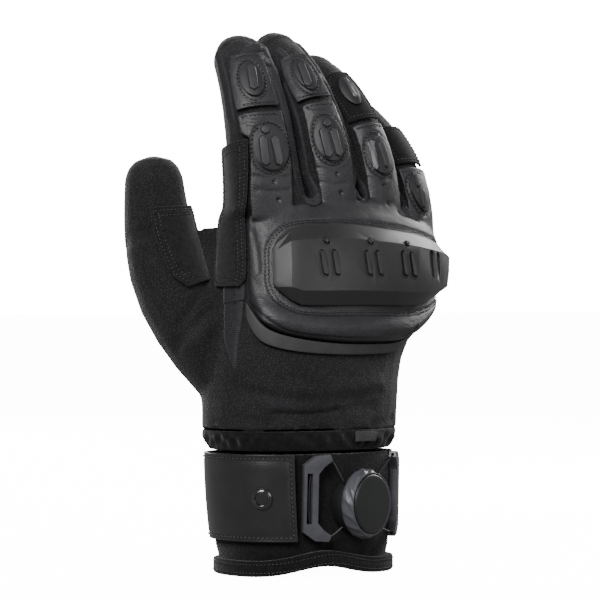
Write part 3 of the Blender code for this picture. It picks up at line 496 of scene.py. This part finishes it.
ribbed, shader = finish("ribbed_stretch_knit", 0.7, 0.3, sheen=0.12)
place = mottled(ribbed, shader, "#151417", "#222125", 0.0018, 6)[0]
grained(ribbed, shader, place, 0.0001, "ShaderNodeTexNoise", {"Scale": 3000.0, "Detail": 3.0})


def band(name, line, widths, height, rib=0.0010, depth=0.3):
    """A ribbed band of these widths along a line on the softshell."""
    points = eased_line(line, rib / 3, 60)
    places = np.linspace(0, 1, len(points))
    across_at = np.interp(places, np.linspace(0, 1, len(widths)), widths)
    corners, steps, count = [], np.linspace(-1, 1, 9), 11
    for k, point in enumerate(points):
        ahead = Vector(points[min(k + 3, len(points) - 1)] - points[max(k - 3, 0)]).normalized()
        normal = out_of_hand(Vector(point))
        across = ahead.cross(normal).normalized()
        swell = height * (1 + depth * math.cos(math.tau * k / 3)) * min(k / 14, (len(points) - 1 - k) / 14, 1)
        for x in steps:
            spot = Vector(point) + across * x * across_at[k] / 2
            base = skin.find_nearest(spot)[0]
            corners.append(base + normal * (swell * (1 - x ** 4) ** 0.5 - 0.0002))
        for x in (0.7, -0.7):
            corners.append(skin.find_nearest(Vector(point) + across * x * across_at[k] / 2)[0] - normal * 0.0009)
    faces = [[k * count + c, k * count + (c + 1) % count, (k + 1) * count + (c + 1) % count, (k + 1) * count + c]
             for k in range(len(points) - 1) for c in range(count)]
    faces += [list(range(count))[::-1], list(range((len(points) - 1) * count, len(points) * count))]
    piece = built(name, corners, faces)
    turned_out(piece)
    bpy.ops.object.shade_smooth()
    piece.data.materials.append(ribbed)
    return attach(piece, "glove")


SHARES = (0.9, 0.8, 0.7, 0.6, 0.5, 0.4, 0.3, 0.22, 0.14)
CROTCHES = (
    ("index", "middle", ((301, 192), (307, 201), (314, 204), (319, 199))),
    ("middle", "ring", ((349, 186), (355, 196), (362, 200), (366, 195))),
    ("ring", "little", ((394, 206), (400, 217), (405, 222), (409, 217))),
)
for first, second, turn_places in CROTCHES:
    line = [on_finger(first, share, 44) for share in SHARES]
    line += [seen(x, y, skin)[0] for x, y in turn_places]
    line += [on_finger(second, share, -66) for share in SHARES[::-1]]
    band(first + "_fourchette", line, (0.0035, 0.0046, 0.0048, 0.0055, 0.0055, 0.0035), 0.0012)
band("index_side_fourchette", [on_finger("index", share, -70) for share in SHARES[:6]], (0.004, 0.006, 0.006), 0.0012)
band("little_side_fourchette", [on_finger("little", share, 58) for share in SHARES[:8]], (0.003, 0.005, 0.005), 0.0012)


# The leather of the back
# Soft charcoal leather, cut in panels and sewn on over the softshell: the big back panel and one or two on each finger.
# The back and the four fingers' lower panels are one hide, with a web of leather that runs up between the fingers.
# Each panel has a turned edge, with rows of stitches in shallow grooves a couple of millimetres in.

def softened(name, node, turned=0.00045, levels=2):
    """A copy of a panel's CAD solid with turned edges and a smooth surface."""
    piece = copy_of(name, node)
    bpy.ops.object.mode_set(mode="EDIT")
    bpy.ops.mesh.select_all(action="SELECT")
    bpy.ops.mesh.tris_convert_to_quads(face_threshold=math.radians(50), shape_threshold=math.radians(60))
    bpy.ops.object.mode_set(mode="OBJECT")
    if turned:
        modified(piece, "BEVEL", width=turned, segments=2, limit_method="ANGLE", angle_limit=math.radians(40))
    modified(piece, "SUBSURF", levels=levels, render_levels=levels)
    bpy.ops.object.shade_smooth()
    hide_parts(node)
    return piece


def rims(piece, out):
    """Closed lines along the outer rim of a panel, where its face turns over into its edge."""
    faces_at = {}
    for face in piece.data.polygons:
        for pair in face.edge_keys:
            faces_at.setdefault(pair, []).append(face.normal.dot(out(face.center)) > 0.55)
    ways = {}
    for (a, b), facing in faces_at.items():
        if len(facing) == 2 and facing[0] != facing[1]:
            ways.setdefault(a, []).append(b)
            ways.setdefault(b, []).append(a)
    lines, used = [], set()
    for start in list(ways):
        if start in used:
            continue
        line, here = [], start
        while here is not None:
            used.add(here)
            line.append(piece.data.vertices[here].co.copy())
            here = next((v for v in ways[here] if v not in used), None)
        if len(line) > 7:
            lines.append(line)
    return lines


def inside(line, tree, out, inset):
    """A closed line moved in from a panel's rim, and laid on the panel."""
    points = evenly(line, 0.0012)
    for repeat in range(4):
        points = (np.roll(points, 1, 0) + points * 2 + np.roll(points, -1, 0)) / 4
    along = np.roll(points, -1, 0) - np.roll(points, 1, 0)
    normals = np.array([out(Vector(p)) for p in points])
    inward = np.cross(normals, along)
    inward /= np.linalg.norm(inward, axis=1)[:, None]
    middle = points.mean(0)
    sign = 1 if ((middle - points) * inward).sum() > 0 else -1
    moved = points + inward * inset * sign
    for repeat in range(4):
        moved = (np.roll(moved, 1, 0) + moved * 2 + np.roll(moved, -1, 0)) / 4
    return [tree.find_nearest(Vector(p) + Vector(n) * 0.0008)[0] for p, n in zip(moved, normals)]


thread, shader = finish("waxed_sewing_thread", 0.5, 0.4)
mottled(thread, shader, "#262628", "#353538", 0.003)
bpy.ops.object.select_all(action="DESELECT")
bpy.ops.mesh.primitive_uv_sphere_add(segments=6, ring_count=5, radius=1)
one_stitch = bpy.context.object
STITCH = np.array([v.co for v in one_stitch.data.vertices])
STITCH_FACES = [list(face.vertices) for face in one_stitch.data.polygons]
bpy.data.objects.remove(one_stitch)


def sewn(name, lines, out, pitch=0.0017, length=0.00060, thick=0.00024, closed=True):
    """One piece of thread: a stitch laid at every pitch along these lines."""
    corners, faces = [], []
    for line in lines:
        points = evenly(list(line), pitch, closed)
        if len(points) < 3:
            continue
        ahead = np.roll(points, -1, 0) - np.roll(points, 1, 0)
        if not closed:
            ahead[0], ahead[-1] = points[1] - points[0], points[-1] - points[-2]
        for point, way in zip(points, ahead):
            normal = Vector(out(Vector(point)))
            forward = Vector(way).normalized()
            across = normal.cross(forward).normalized()
            normal = forward.cross(across)
            base = len(corners) * len(STITCH)
            corners.append(point + np.array(normal) * thick * 0.3 + STITCH[:, :1] * length * np.array(forward)
                           + STITCH[:, 1:2] * thick * np.array(across) + STITCH[:, 2:] * thick * np.array(normal))
            faces.extend([[v + base for v in face] for face in STITCH_FACES])
    piece = built(name, np.concatenate(corners).tolist(), faces)
    piece.data.materials.append(thread)
    alone(piece)
    bpy.ops.object.shade_smooth()
    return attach(piece, "glove")


leather, shader = finish("soft_grained_leather", 0.5, 0.4)
place = mottled(leather, shader, "#18171a", "#242326", 0.012, 6)[0]
grain = add(leather, "ShaderNodeTexVoronoi", {"Scale": 1500.0, "Randomness": 1.0})
twill = add(leather, "ShaderNodeTexWave", {"Scale": 430.0, "Distortion": 1.6, "Detail": 2.0, "Detail Scale": 1.5},
            bands_direction="DIAGONAL")
wrinkle = add(leather, "ShaderNodeTexNoise", {"Scale": 190.0, "Detail": 5.0, "Distortion": 0.8})
for texture in (grain, twill, wrinkle):
    join(leather, place, "Object", texture, "Vector")
under = raised(leather, shader, wrinkle, "Fac", 0.00025)
under = raised(leather, shader, grain, "Distance", 0.00007, under)
raised(leather, shader, twill, "Fac", 0.00003, under)

FINGER_LEATHERS = ("index_leather", "middle_leather", "ring_leather", "little_leather")
blanks = []
for node in ("back_leather",) + FINGER_LEATHERS:
    blank = copy_of(node + "_blank", node)
    if node != "back_leather":
        foot = min(vertex.co.z for vertex in blank.data.vertices)
        edit_faces(blank, lambda face: face.normal.z < -0.6 and face.center.z < foot + 0.006)
        bpy.ops.mesh.extrude_region_move(TRANSFORM_OT_translate={"value": (0, 0, -0.0055)})
        bpy.ops.object.mode_set(mode="OBJECT")
    modified(blank, "BEVEL", width=0.0003, segments=2, limit_method="ANGLE", angle_limit=math.radians(40))
    modified(blank, "SUBSURF", levels=1, render_levels=1)
    blanks.append(blank)
RIM_REACH = 4
WEB = ((254, 207, 218), (290, 206, 216), (300, 204, 215), (307, 205.5, 215), (314, 207.5, 215), (320, 205, 214),
       (328, 200, 214), (345, 198, 213), (352, 199, 213), (361, 203.5, 213), (367, 201, 213), (374, 200, 213),
       (390, 206, 215), (398, 217, 223), (404, 225.5, 230), (410, 223, 230), (417, 222, 230))
ROWS = 8
top, low = [], []
for x in range(254, 419, 3):
    first = np.interp(x, [p[0] for p in WEB], [p[1] for p in WEB])
    last = np.interp(x, [p[0] for p in WEB], [p[2] for p in WEB])
    for k in range(ROWS):
        spot, normal = seen(x, first + (last + RIM_REACH - first) * k / (ROWS - 1), skin)
        top.append(spot + normal * 0.0015)
        low.append(spot - normal * 0.0006)
count = len(top)
faces = []
for k in range(0, count - ROWS, ROWS):
    for c in range(ROWS - 1):
        quad = [k + c, k + c + 1, k + ROWS + c + 1, k + ROWS + c]
        faces += [quad, [v + count for v in quad[::-1]]]
    for a, b in ((k + ROWS, k), (k + ROWS - 1, k + 2 * ROWS - 1)):
        faces.append([a, b, b + count, a + count])
for c in range(ROWS - 1):
    faces += [[c + 1, c, c + count, c + 1 + count],
              [count - ROWS + c, count - ROWS + c + 1, 2 * count - ROWS + c + 1, 2 * count - ROWS + c]]
blanks.append(built("web_blank", top + low, faces))
back = alone(blanks[0])
for blank in blanks:
    blank.select_set(True)
bpy.ops.object.join()
back.name = "back_leather_hide"
modified(back, "REMESH", mode="VOXEL", voxel_size=0.00055)
modified(back, "SMOOTH", factor=0.5, iterations=5)
# The web runs out smoothly into the fingers' leathers, so the hide is smoothed further along its rim
ramp_group = back.vertex_groups.new(name="ramp")
for vertex in back.data.vertices:
    from_camera = vertex.co - camera.location
    depth = from_camera.dot(AHEAD)
    x = FRAME / 2 + from_camera.dot(RIGHT) * AWAY / depth / PIXEL
    y = FRAME / 2 - from_camera.z * AWAY / depth / PIXEL
    rim = np.interp(x, [p[0] for p in WEB], [p[2] for p in WEB]) - RIM_REACH
    weight = math.exp(-((y - rim) / 7) ** 2)
    if weight > 0.05:
        ramp_group.add([vertex.index], weight, "REPLACE")
modified(back, "SMOOTH", factor=0.5, iterations=70, vertex_group="ramp")
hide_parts("back_leather", *FINGER_LEATHERS)
back_tree = tree_of(back)


def across_rows(line):
    """The stretches of a closed line that run across the finger, not up its sides."""
    rows, row = [], []
    for k, point in enumerate(line):
        ahead = (Vector(line[(k + 1) % len(line)]) - Vector(line[k - 1])).normalized()
        if abs(ahead.z) < 0.62:
            row.append(point)
        elif len(row) > 5:
            rows.append(row)
            row = []
        else:
            row = []
    return rows + [row] if len(row) > 5 else rows


top_rows = []
for node in FINGER_LEATHERS:
    edge = copy_of(node + "_edge", node)
    for line in rims(edge, out_of_hand):
        top_rows += [row for row in across_rows(inside(line, back_tree, out_of_hand, 0.0017))
                     if sum(p.z for p in row) / len(row)
                     > sum(v.co.z for v in edge.data.vertices) / len(edge.data.vertices)]
    bpy.data.objects.remove(edge)
edge = copy_of("guard_edge", "knuckle_guard")
outline = max(rims(edge, out_of_hand), key=lambda line: len(evenly(line, 0.001)))
bpy.data.objects.remove(edge)
guard_rows = [inside(outline, back_tree, out_of_hand, -offset) for offset in (0.0024, 0.0036)]
for row in top_rows:
    pressed(back, row, 0.0006, 0.0003, closed=False)
for row in guard_rows:
    pressed(back, row, 0.0006, 0.00035)
PIPINGS = (
    ((246.4, 304), (256.6, 311), (268, 320.5), (278.3, 327), (288.5, 331.5), (306.3, 335), (329.3, 337), (354.8, 338.6),
     (380.3, 338.3), (405.8, 335.5), (424, 329)),
    ((248, 310), (262, 322), (278, 334), (292, 339), (316, 343), (354.8, 345), (393, 344), (412, 340), (426, 333)),
)
pipings = [eased_line([seen(x, y, back_tree)[0] for x, y in places], 0.0006, 10) for places in PIPINGS]
for line in pipings:
    pressed(back, line, 0.0007, 0.0007, closed=False)
HOLES = ((274, 182), (278, 200), (337, 174), (341, 193), (384, 186), (388, 204))
for x, y in HOLES:
    spot = seen(x, y, back_tree)[0]
    pressed(back, [spot, spot + Vector((0, 0, 0.0001)), spot + Vector((0, 0, 0.0002))], 0.0007, 0.0013, closed=False)
CREASES = (
    (0.0009, 0.00035, (237, 118), (248, 121), (262, 120), (276, 117)),
    (0.0009, 0.00030, (238, 124), (247, 127), (256, 128)),
    (0.0010, 0.00035, (254, 176), (268, 178.5), (286, 177)),
    (0.0010, 0.00030, (256, 190), (270, 192), (288, 190)),
    (0.0010, 0.00035, (316, 168), (330, 170), (345, 168)),
    (0.0010, 0.00030, (318, 182), (334, 185), (346, 183)),
    (0.0009, 0.00030, (302, 106), (312, 109), (324, 108)),
    (0.0010, 0.00030, (366, 178), (378, 180), (390, 178)),
    (0.0014, 0.00040, (252, 232), (256, 250), (258, 270)),
)
for width, depth, *places in CREASES:
    pressed(back, eased_line([seen(x, y, back_tree)[0] for x, y in places], 0.0006, 10), width, depth, closed=False)
sewn("back_leather_stitching", guard_rows, out_of_hand)
sewn("finger_row_stitching", top_rows, out_of_hand, closed=False)
back.data.materials.append(leather)
alone(back)
bpy.ops.object.shade_smooth()
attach(back, "glove")

under_pads = {}
for node in ("index_tip_leather", "middle_tip_leather"):
    edge = copy_of(node + "_edge", node)
    panel = softened(node + "_panel", node)
    tree = tree_of(panel)
    under_pads[node.replace("_leather", "")] = tree, panel
    rows = [row for line in rims(edge, out_of_hand) for row in across_rows(inside(line, tree, out_of_hand, 0.0017))]
    bpy.data.objects.remove(edge)
    for row in rows:
        pressed(panel, row, 0.0007, 0.00035, closed=False)
    sewn(node + "_stitching", rows, out_of_hand, closed=False)
    panel.data.materials.append(leather)
    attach(panel, "glove")


# The moulded inserts
# Dark rubber pads that show through oval holes in the finger leather, each with a row of stitches round its hole.
# The near ones carry a dot over two long lozenges, the far ones a single lozenge, all moulded proud of the pad.

insert_rubber, shader = finish("moulded_insert_rubber", 0.52, 0.35)
place = mottled(insert_rubber, shader, "#171719", "#1e1e20", 0.004)[0]
grained(insert_rubber, shader, place, 0.00003, "ShaderNodeTexNoise", {"Scale": 5200.0, "Detail": 2.0})
lozenge_rubber, shader = finish("satin_raised_rubber", 0.42, 0.45)
place = mottled(lozenge_rubber, shader, "#222224", "#2a2a2d", 0.004)[0]
grained(lozenge_rubber, shader, place, 0.00003, "ShaderNodeTexNoise", {"Scale": 5200.0, "Detail": 2.0})


SUNK, PROUD = 0.00030, 0.00070


def lozenge(name, top, foot, width, height, tree, material=None):
    """A six-sided bar with sloping sides, from one place on a surface to another."""
    (high, first), (low, second) = seen(*top, tree), seen(*foot, tree)
    out = (first + second).normalized()
    along = (high - low).normalized()
    across = along.cross(out).normalized()
    out = across.cross(along)
    bpy.ops.object.select_all(action="DESELECT")
    bpy.ops.mesh.primitive_cylinder_add(vertices=6, radius=width / 1.732, depth=height, location=(0, 0, 0))
    piece = bpy.context.object
    piece.name = name
    stretch = max((high - low).length / 2 - width / 2, 0)
    middle = (high + low) / 2
    for vertex in piece.data.vertices:
        vertex.co.y += math.copysign(stretch, vertex.co.y)
        if vertex.co.z > 0:
            vertex.co.y -= math.copysign(width * 0.12, vertex.co.y)
            vertex.co.x *= 0.76
    bpy.ops.object.mode_set(mode="EDIT")
    bpy.ops.mesh.select_all(action="SELECT")
    bpy.ops.mesh.subdivide(number_cuts=5)
    bpy.ops.object.mode_set(mode="OBJECT")
    for vertex in piece.data.vertices:
        x, y, z = vertex.co
        foot = tree.find_nearest(middle + along * y + across * x)[0]
        vertex.co = foot + out * (SUNK + PROUD * z / (height / 2))
    modified(piece, "BEVEL", width=0.00022, segments=3, limit_method="ANGLE", angle_limit=math.radians(24))
    turned_out(piece)
    bpy.ops.object.shade_smooth_by_angle(angle=math.radians(32))
    piece.data.materials.append(material or lozenge_rubber)
    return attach(piece, "glove")


LOZENGES = {
    "index_insert": (((264.6, 126), (264.6, 133.5), 0.0042), ((262, 135.5), (265.5, 166), 0.0044),
                     ((273, 135.5), (279.5, 166), 0.0044)),
    "middle_insert": (((326, 119.5), (326, 127), 0.0040), ((321.5, 127.5), (329, 158), 0.0042),
                      ((331.5, 128.5), (339, 157), 0.0042)),
    "ring_insert": (((374, 132), (374, 139), 0.0038), ((370, 139.5), (377, 170), 0.0040),
                    ((379, 141), (387, 168), 0.0040)),
    "little_insert": (((417, 182), (418, 187), 0.0030), ((415, 188), (418.5, 209), 0.0032),
                      ((420.5, 189), (423.5, 208), 0.0028)),
    "index_tip_insert": (((250, 65), (254, 90), 0.0046),),
    "middle_tip_insert": (((299.5, 63), (308.5, 87), 0.0042),),
    "ring_tip_insert": (((343, 77), (355.5, 97), 0.0034),),
}
for node, bars in LOZENGES.items():
    edge = copy_of(node + "_edge", node)
    pad = softened(node + "_pad", node, turned=0.0003)
    pad_tree = tree_of(pad)
    seams = [evenly(line, 0.0008) for line in rims(edge, out_of_hand)]
    bpy.data.objects.remove(edge)
    ground, hide = under_pads.get(node.replace("_insert", ""), (back_tree, back))
    if node != "ring_tip_insert":
        seams = [[ground.find_nearest(Vector(p) + (Vector(p) - Vector(line.mean(0))).normalized() * 0.0013)[0]
                  for p in line] for line in seams]
        for seam in seams:
            pressed(hide, seam, 0.0008, 0.0005)
        sewn(node + "_stitching", seams, out_of_hand, 0.0019, 0.00072, 0.00034)
    pad.data.materials.append(insert_rubber)
    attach(pad, "glove")
    for k, (top, foot, width) in enumerate(bars):
        lozenge(f"{node}_bar_{k + 1}", top, foot, width, 0.0016, pad_tree)


# The fabric at the fingertips
# Brushed stretch fabric covers the ring and little fingers' tip panels.
# It is sewn like the leather, but matt, with a fine grain.

brushed, shader = finish("brushed_stretch_fabric", 0.9, 0.12, sheen=0.12)
place = mottled(brushed, shader, "#0e0e0f", "#171718", 0.003, 8)[0]
grained(brushed, shader, place, 0.00018, "ShaderNodeTexNoise", {"Scale": 2600.0, "Detail": 4.0})
for node in ("ring_tip_panel", "little_tip_panel"):
    edge = copy_of(node + "_edge", node)
    panel = softened(node + "_cloth", node)
    tree = tree_of(panel)
    seams = [inside(line, tree, out_of_hand, 0.0018) for line in rims(edge, out_of_hand)]
    bpy.data.objects.remove(edge)
    for seam in seams:
        pressed(panel, seam, 0.0007, 0.00035)
    sewn(node + "_stitching", seams, out_of_hand)
    panel.data.materials.append(brushed)
    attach(panel, "glove")


# The suede patches
# Black suede, left bare, wraps the index finger's side down to the thumb's crotch, and a second patch lines the thumb.
# Both are sewn down with a double row of stitches inside their edge.

suede, shader = finish("napped_black_suede", 0.95, 0.1, sheen=0.18)
place = mottled(suede, shader, "#121213", "#202021", 0.0016, 8)[0]
grained(suede, shader, place, 0.0003, "ShaderNodeTexNoise", {"Scale": 2200.0, "Detail": 6.0, "Roughness": 0.7})
for node in ("index_side_patch", "thumb_patch"):
    edge = copy_of(node + "_edge", node)
    patch = softened(node + "_suede", node, levels=3)
    tree = tree_of(patch)
    lines = rims(edge, out_of_hand)
    bpy.data.objects.remove(edge)
    seams = [inside(line, tree, out_of_hand, inset) for line in lines for inset in (0.0017, 0.0040)]
    for seam in seams:
        pressed(patch, seam, 0.0006, 0.0003)
    sewn(node + "_stitching", seams, out_of_hand)
    patch.data.materials.append(suede)
    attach(patch, "glove")


# The knuckle guard
# One moulded shell of semi-matt thermoplastic over the knuckles, with bevelled flats round a raised plateau.
# Its edges are eased as a mould leaves them, and raised bars and dots stand in its sunk motifs.

guard_plastic, shader = finish("semi_matt_moulded_shell", 0.47, 0.45)
place = mottled(guard_plastic, shader, "#151516", "#19191a", 0.02)[0]
grained(guard_plastic, shader, place, 0.000025, "ShaderNodeTexNoise", {"Scale": 3800.0, "Detail": 3.0})


def eased(name, node, width, angle=26, segments=3):
    """A copy of a hard piece's CAD solid with its edges rounded off."""
    piece = copy_of(name, node)
    modified(piece, "BEVEL", width=width, segments=segments, limit_method="ANGLE", angle_limit=math.radians(angle))
    alone(piece)
    bpy.ops.object.shade_smooth_by_angle(angle=math.radians(40))
    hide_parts(node)
    return piece


guard = eased("knuckle_guard_shell", "knuckle_guard", 0.0004, 18)
guard.data.materials.append(guard_plastic)
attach(guard, "glove")
guard_tree = tree_of(guard)
MOTIFS = (
    ((325.9, 240.7), (321.7, 250.5), (325.6, 275.3), (333.8, 250.5), (337.7, 275.3), 0.0029),
    ((369.4, 241.2), (366.2, 251), (370, 275.6), (377, 251), (381, 275.6), 0.0029),
    ((405.9, 243.5), (402.9, 251.5), (405.6, 276), (411.7, 251.8), (414.8, 276.8), 0.0027),
)
for k, (dot, *ends, width) in enumerate(MOTIFS):
    for n, (top_end, low_end) in enumerate(((ends[0], ends[1]), (ends[2], ends[3]))):
        lozenge(f"guard_bar_{k + 1}_{n + 1}", top_end, low_end, width, 0.0016, guard_tree, guard_plastic)
    x, y = dot
    lozenge(f"guard_dot_{k + 1}", (x, y - 2.6), (x, y + 2.6), 0.0026, 0.0014, guard_tree, guard_plastic)


# The rubber flange
# A thin grey rubber lip that shows under the padded ledge of the back.

flange_rubber, shader = finish("grey_flange_rubber", 0.6, 0.3)
mottled(flange_rubber, shader, "#2e2d2d", "#353434", 0.008)
flange = softened("ledge_flange_rubber", "ledge_flange", turned=0.0003)
flange.data.materials.append(flange_rubber)
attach(flange, "glove")


# The ribbed strip
# A tapering strip of ribbed stretch fabric between the thumb and the back, its ribs running across it.

EDGES = (((224, 258), (246, 255)), ((223.5, 275), (245.6, 275)), ((223, 300), (245.5, 300)),
         ((222.5, 322), (244.5, 320)),
         ((222.2, 340), (241, 338)), ((228, 357), (238.5, 355)), ((233, 371), (235.5, 370)))
sides = [(seen(*left, skin)[0], seen(*right, skin)[0]) for left, right in EDGES]
strip = band("ribbed_side_strip", [(left + right) / 2 for left, right in sides],
             [(left - right).length for left, right in sides], 0.0010)
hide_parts("ribbed_strip")


# The cuff
# A brushed stretch sleeve between an elastic gathered band and a bound, wavy hem, sewn with two rows of stitches.

CUFF_X, CUFF_Y = -0.0021, 0.0018
CUFF_HALF_WIDTH, CUFF_HALF_DEPTH = 42, 30.5


def out_of_cuff(point):
    """The way out of the cuff's oval."""
    x, y = (point.x - CUFF_X) / CUFF_HALF_WIDTH ** 2, (point.y - CUFF_Y) / CUFF_HALF_DEPTH ** 2
    return Vector((x, y, 0)).normalized()


def cuff_turn(point):
    """How far round the cuff's oval a point lies, in radians from the front."""
    return math.atan2((point.x - CUFF_X) / CUFF_HALF_WIDTH, -(point.y - CUFF_Y) / CUFF_HALF_DEPTH)


cuff_fleece, shader = finish("brushed_cuff_fabric", 0.92, 0.1, sheen=0.14)
place = mottled(cuff_fleece, shader, "#0b0b0c", "#161617", 0.002, 8)[0]
grained(cuff_fleece, shader, place, 0.00025, "ShaderNodeTexVoronoi", {"Scale": 1700.0}, "Distance")
cuffs = {}
for node in ("wrist_sleeve", "gather_band", "hem_binding"):
    part = softened(node + "_cloth", node, turned=0.0006 if node != "wrist_sleeve" else 0,
                    levels=3 if node == "gather_band" else 2)
    part.data.materials.append(cuff_fleece)
    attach(part, "glove")
    cuffs[node] = part


def round_cuff(height, piece_tree, turns=range(0, 360, 3)):
    """Places round the outside of the cuff, at a height in metres given for each turn in degrees."""
    line = []
    for turn in turns:
        way = Vector((math.sin(math.radians(turn)), -math.cos(math.radians(turn)), 0))
        start = Vector((CUFF_X, CUFF_Y, height(turn))) + way * 0.08
        spot = piece_tree.ray_cast(start, -way)[0]
        if spot is not None:
            line.append(spot)
    return line


TUCK, TUCKED_FROM, TUCKED_IN = 0.0022, 0.012, 0.0005
sleeve = cuffs["wrist_sleeve"]
foot = min(vertex.co.z for vertex in sleeve.data.vertices)
for vertex in sleeve.data.vertices:
    vertex.co.z -= TUCK * max(1 - (vertex.co.z - foot) / TUCKED_FROM, 0) ** 0.5
    if vertex.co.z < foot + 0.004:
        vertex.co -= out_of_cuff(vertex.co) * TUCKED_IN
GATHER_FOOT, GATHER_HEIGHT, PUCKER = 0.0543, 0.0085, 0.00042
gather = cuffs["gather_band"]
for vertex in gather.data.vertices:
    turn = cuff_turn(vertex.co)
    level = (vertex.co.z - GATHER_FOOT) / GATHER_HEIGHT
    pucker = math.sin(23 * turn + 1.6 * math.sin(5 * turn) + 3.0 * level) + 0.6 * math.sin(41 * turn - 5 * level)
    belly = math.sin(math.pi * min(max(level, 0), 1))
    vertex.co += out_of_cuff(vertex.co) * (PUCKER * pucker * (0.35 + belly) * belly)
sleeve_tree = tree_of(cuffs["wrist_sleeve"])
for width, depth, *places in (
        (0.0020, 0.0007, (325, 549), (333, 541), (343, 532)), (0.0022, -0.0006, (330, 552), (340, 543), (350, 537)),
        (0.0020, 0.0006, (352, 459), (362, 463), (372, 469)), (0.0020, 0.0006, (318, 549), (312, 545), (305, 543)),
        (0.0018, 0.0006, (372, 548), (380, 541), (386, 536)), (0.0020, 0.0006, (338, 452), (342, 458), (345, 466))):
    line = eased_line([seen(x, y, sleeve_tree)[0] for x, y in places], 0.0006, 10)
    pressed(cuffs["wrist_sleeve"], line, width, depth, closed=False)
hem = cuffs["hem_binding"]
hem_tree = tree_of(hem)
hem_top = {}
for vertex in hem.data.vertices:
    turn = round(math.degrees(cuff_turn(vertex.co)) / 6) * 6 % 360
    hem_top[turn] = max(hem_top.get(turn, 0), vertex.co.z)
turns = sorted(hem_top)
heights = np.array([hem_top[turn] for turn in turns])
for repeat in range(3):
    heights = (np.roll(heights, 1) + heights * 2 + np.roll(heights, -1)) / 4
for drop in (0.0016, 0.0052):
    row = round_cuff(lambda turn: np.interp(turn, turns + [360], list(heights) + [heights[0]]) - drop, hem_tree)
    pressed(hem, row, 0.0006, 0.0003)
    sewn(f"hem_stitching_{round(drop * 10000)}", [row], out_of_cuff)


# The wrist strap
# A broad strap of smooth stiff leather round the wrist, stitched along its edges, with a plain domed rivet.

strap_leather, shader = finish("smooth_strap_leather", 0.34, 0.5, coat=0.08)
place = mottled(strap_leather, shader, "#111112", "#19191a", 0.01, 6)[0]
grained(strap_leather, shader, place, 0.000022, "ShaderNodeTexWave", {"Scale": 760.0, "Distortion": 0.6},
        bands_direction="DIAGONAL")
edge = copy_of("wrist_strap_edge", "wrist_strap")
strap = softened("wrist_strap_leather", "wrist_strap", turned=0.0004)
tree = tree_of(strap)
seams = [inside(line, tree, out_of_cuff, 0.0018) for line in rims(edge, out_of_cuff)]
bpy.data.objects.remove(edge)
for seam in seams:
    pressed(strap, seam, 0.0008, 0.0005)
sewn("wrist_strap_stitching", seams, out_of_cuff, 0.0020, 0.00074, 0.00034)
strap.data.materials.append(strap_leather)
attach(strap, "glove")

rivet_gloss, shader = finish("glossy_black_rivet", 0.12, 0.6, coat=0.6)
mottled(rivet_gloss, shader, "#08080a", "#0c0c0e", 0.004)
rivet = softened("strap_rivet_dome", "strap_rivet", turned=0.0002)
rivet.data.materials.append(rivet_gloss)
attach(rivet, "glove")
corners = np.array([vertex.co for vertex in rivet.data.vertices])
centre = Vector((corners.max(0) + corners.min(0)) / 2)
away = out_of_cuff(centre)
crown = tree_of(rivet).ray_cast(centre + away * 0.02, -away)[0]
bpy.ops.object.select_all(action="DESELECT")
bpy.ops.mesh.primitive_torus_add(major_radius=0.0031, minor_radius=0.00034, major_segments=48, minor_segments=10,
                                 location=crown - away * 0.0002, rotation=away.to_track_quat("Z", "Y").to_euler())
rim = bpy.context.object
rim.name = "strap_rivet_rim"
bpy.ops.object.transform_apply(location=True, rotation=True)
bpy.ops.object.shade_smooth()
rim.data.materials.append(rivet_gloss)
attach(rim, "glove")

woven, shader = finish("woven_grey_tape", 0.7, 0.25)
mottled(woven, shader, "#2a2a2b", "#3c3c3d", 0.0012)
tack = softened("bar_tack_tape", "bar_tack", turned=0.0002)
tack.data.materials.append(woven)
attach(tack, "glove")


# The closure
# Two satin plastic brackets at the strap's ends, drawn together by a fine lace that a knurled dial winds in.

satin, shader = finish("satin_grey_plastic", 0.4, 0.45)
mottled(satin, shader, "#3b3b40", "#434348", 0.006)
for node in ("left_bracket", "right_bracket"):
    bracket = eased(node + "_moulding", node, 0.0005)
    bracket.data.materials.append(satin)
    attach(bracket, "glove")
lace_cord, shader = finish("braided_dark_lace", 0.45, 0.4)
mottled(lace_cord, shader, "#161617", "#262627", 0.0006)
for node in ("left_lace", "right_lace"):
    lace = softened(node + "_cord", node, turned=0)
    lace.data.materials.append(lace_cord)
    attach(lace, "glove")
cap_plastic, shader = finish("dark_cap_plastic", 0.38, 0.4)
mottled(cap_plastic, shader, "#141516", "#18191a", 0.01)
base = eased("dial_base_moulding", "dial_base", 0.0004)
base.data.materials.append(cap_plastic)
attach(base, "glove")
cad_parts["dial_spindle"].data.materials.clear()
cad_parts["dial_spindle"].data.materials.append(satin)
knob = eased("dial_knob_grip", "dial_knob", 0.0003, 15)
knob.data.materials.append(satin)
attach(knob, "dial")
cap = eased("dial_cap_disc", "dial_cap", 0.0004)
cap.data.materials.append(cap_plastic)
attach(cap, "dial")
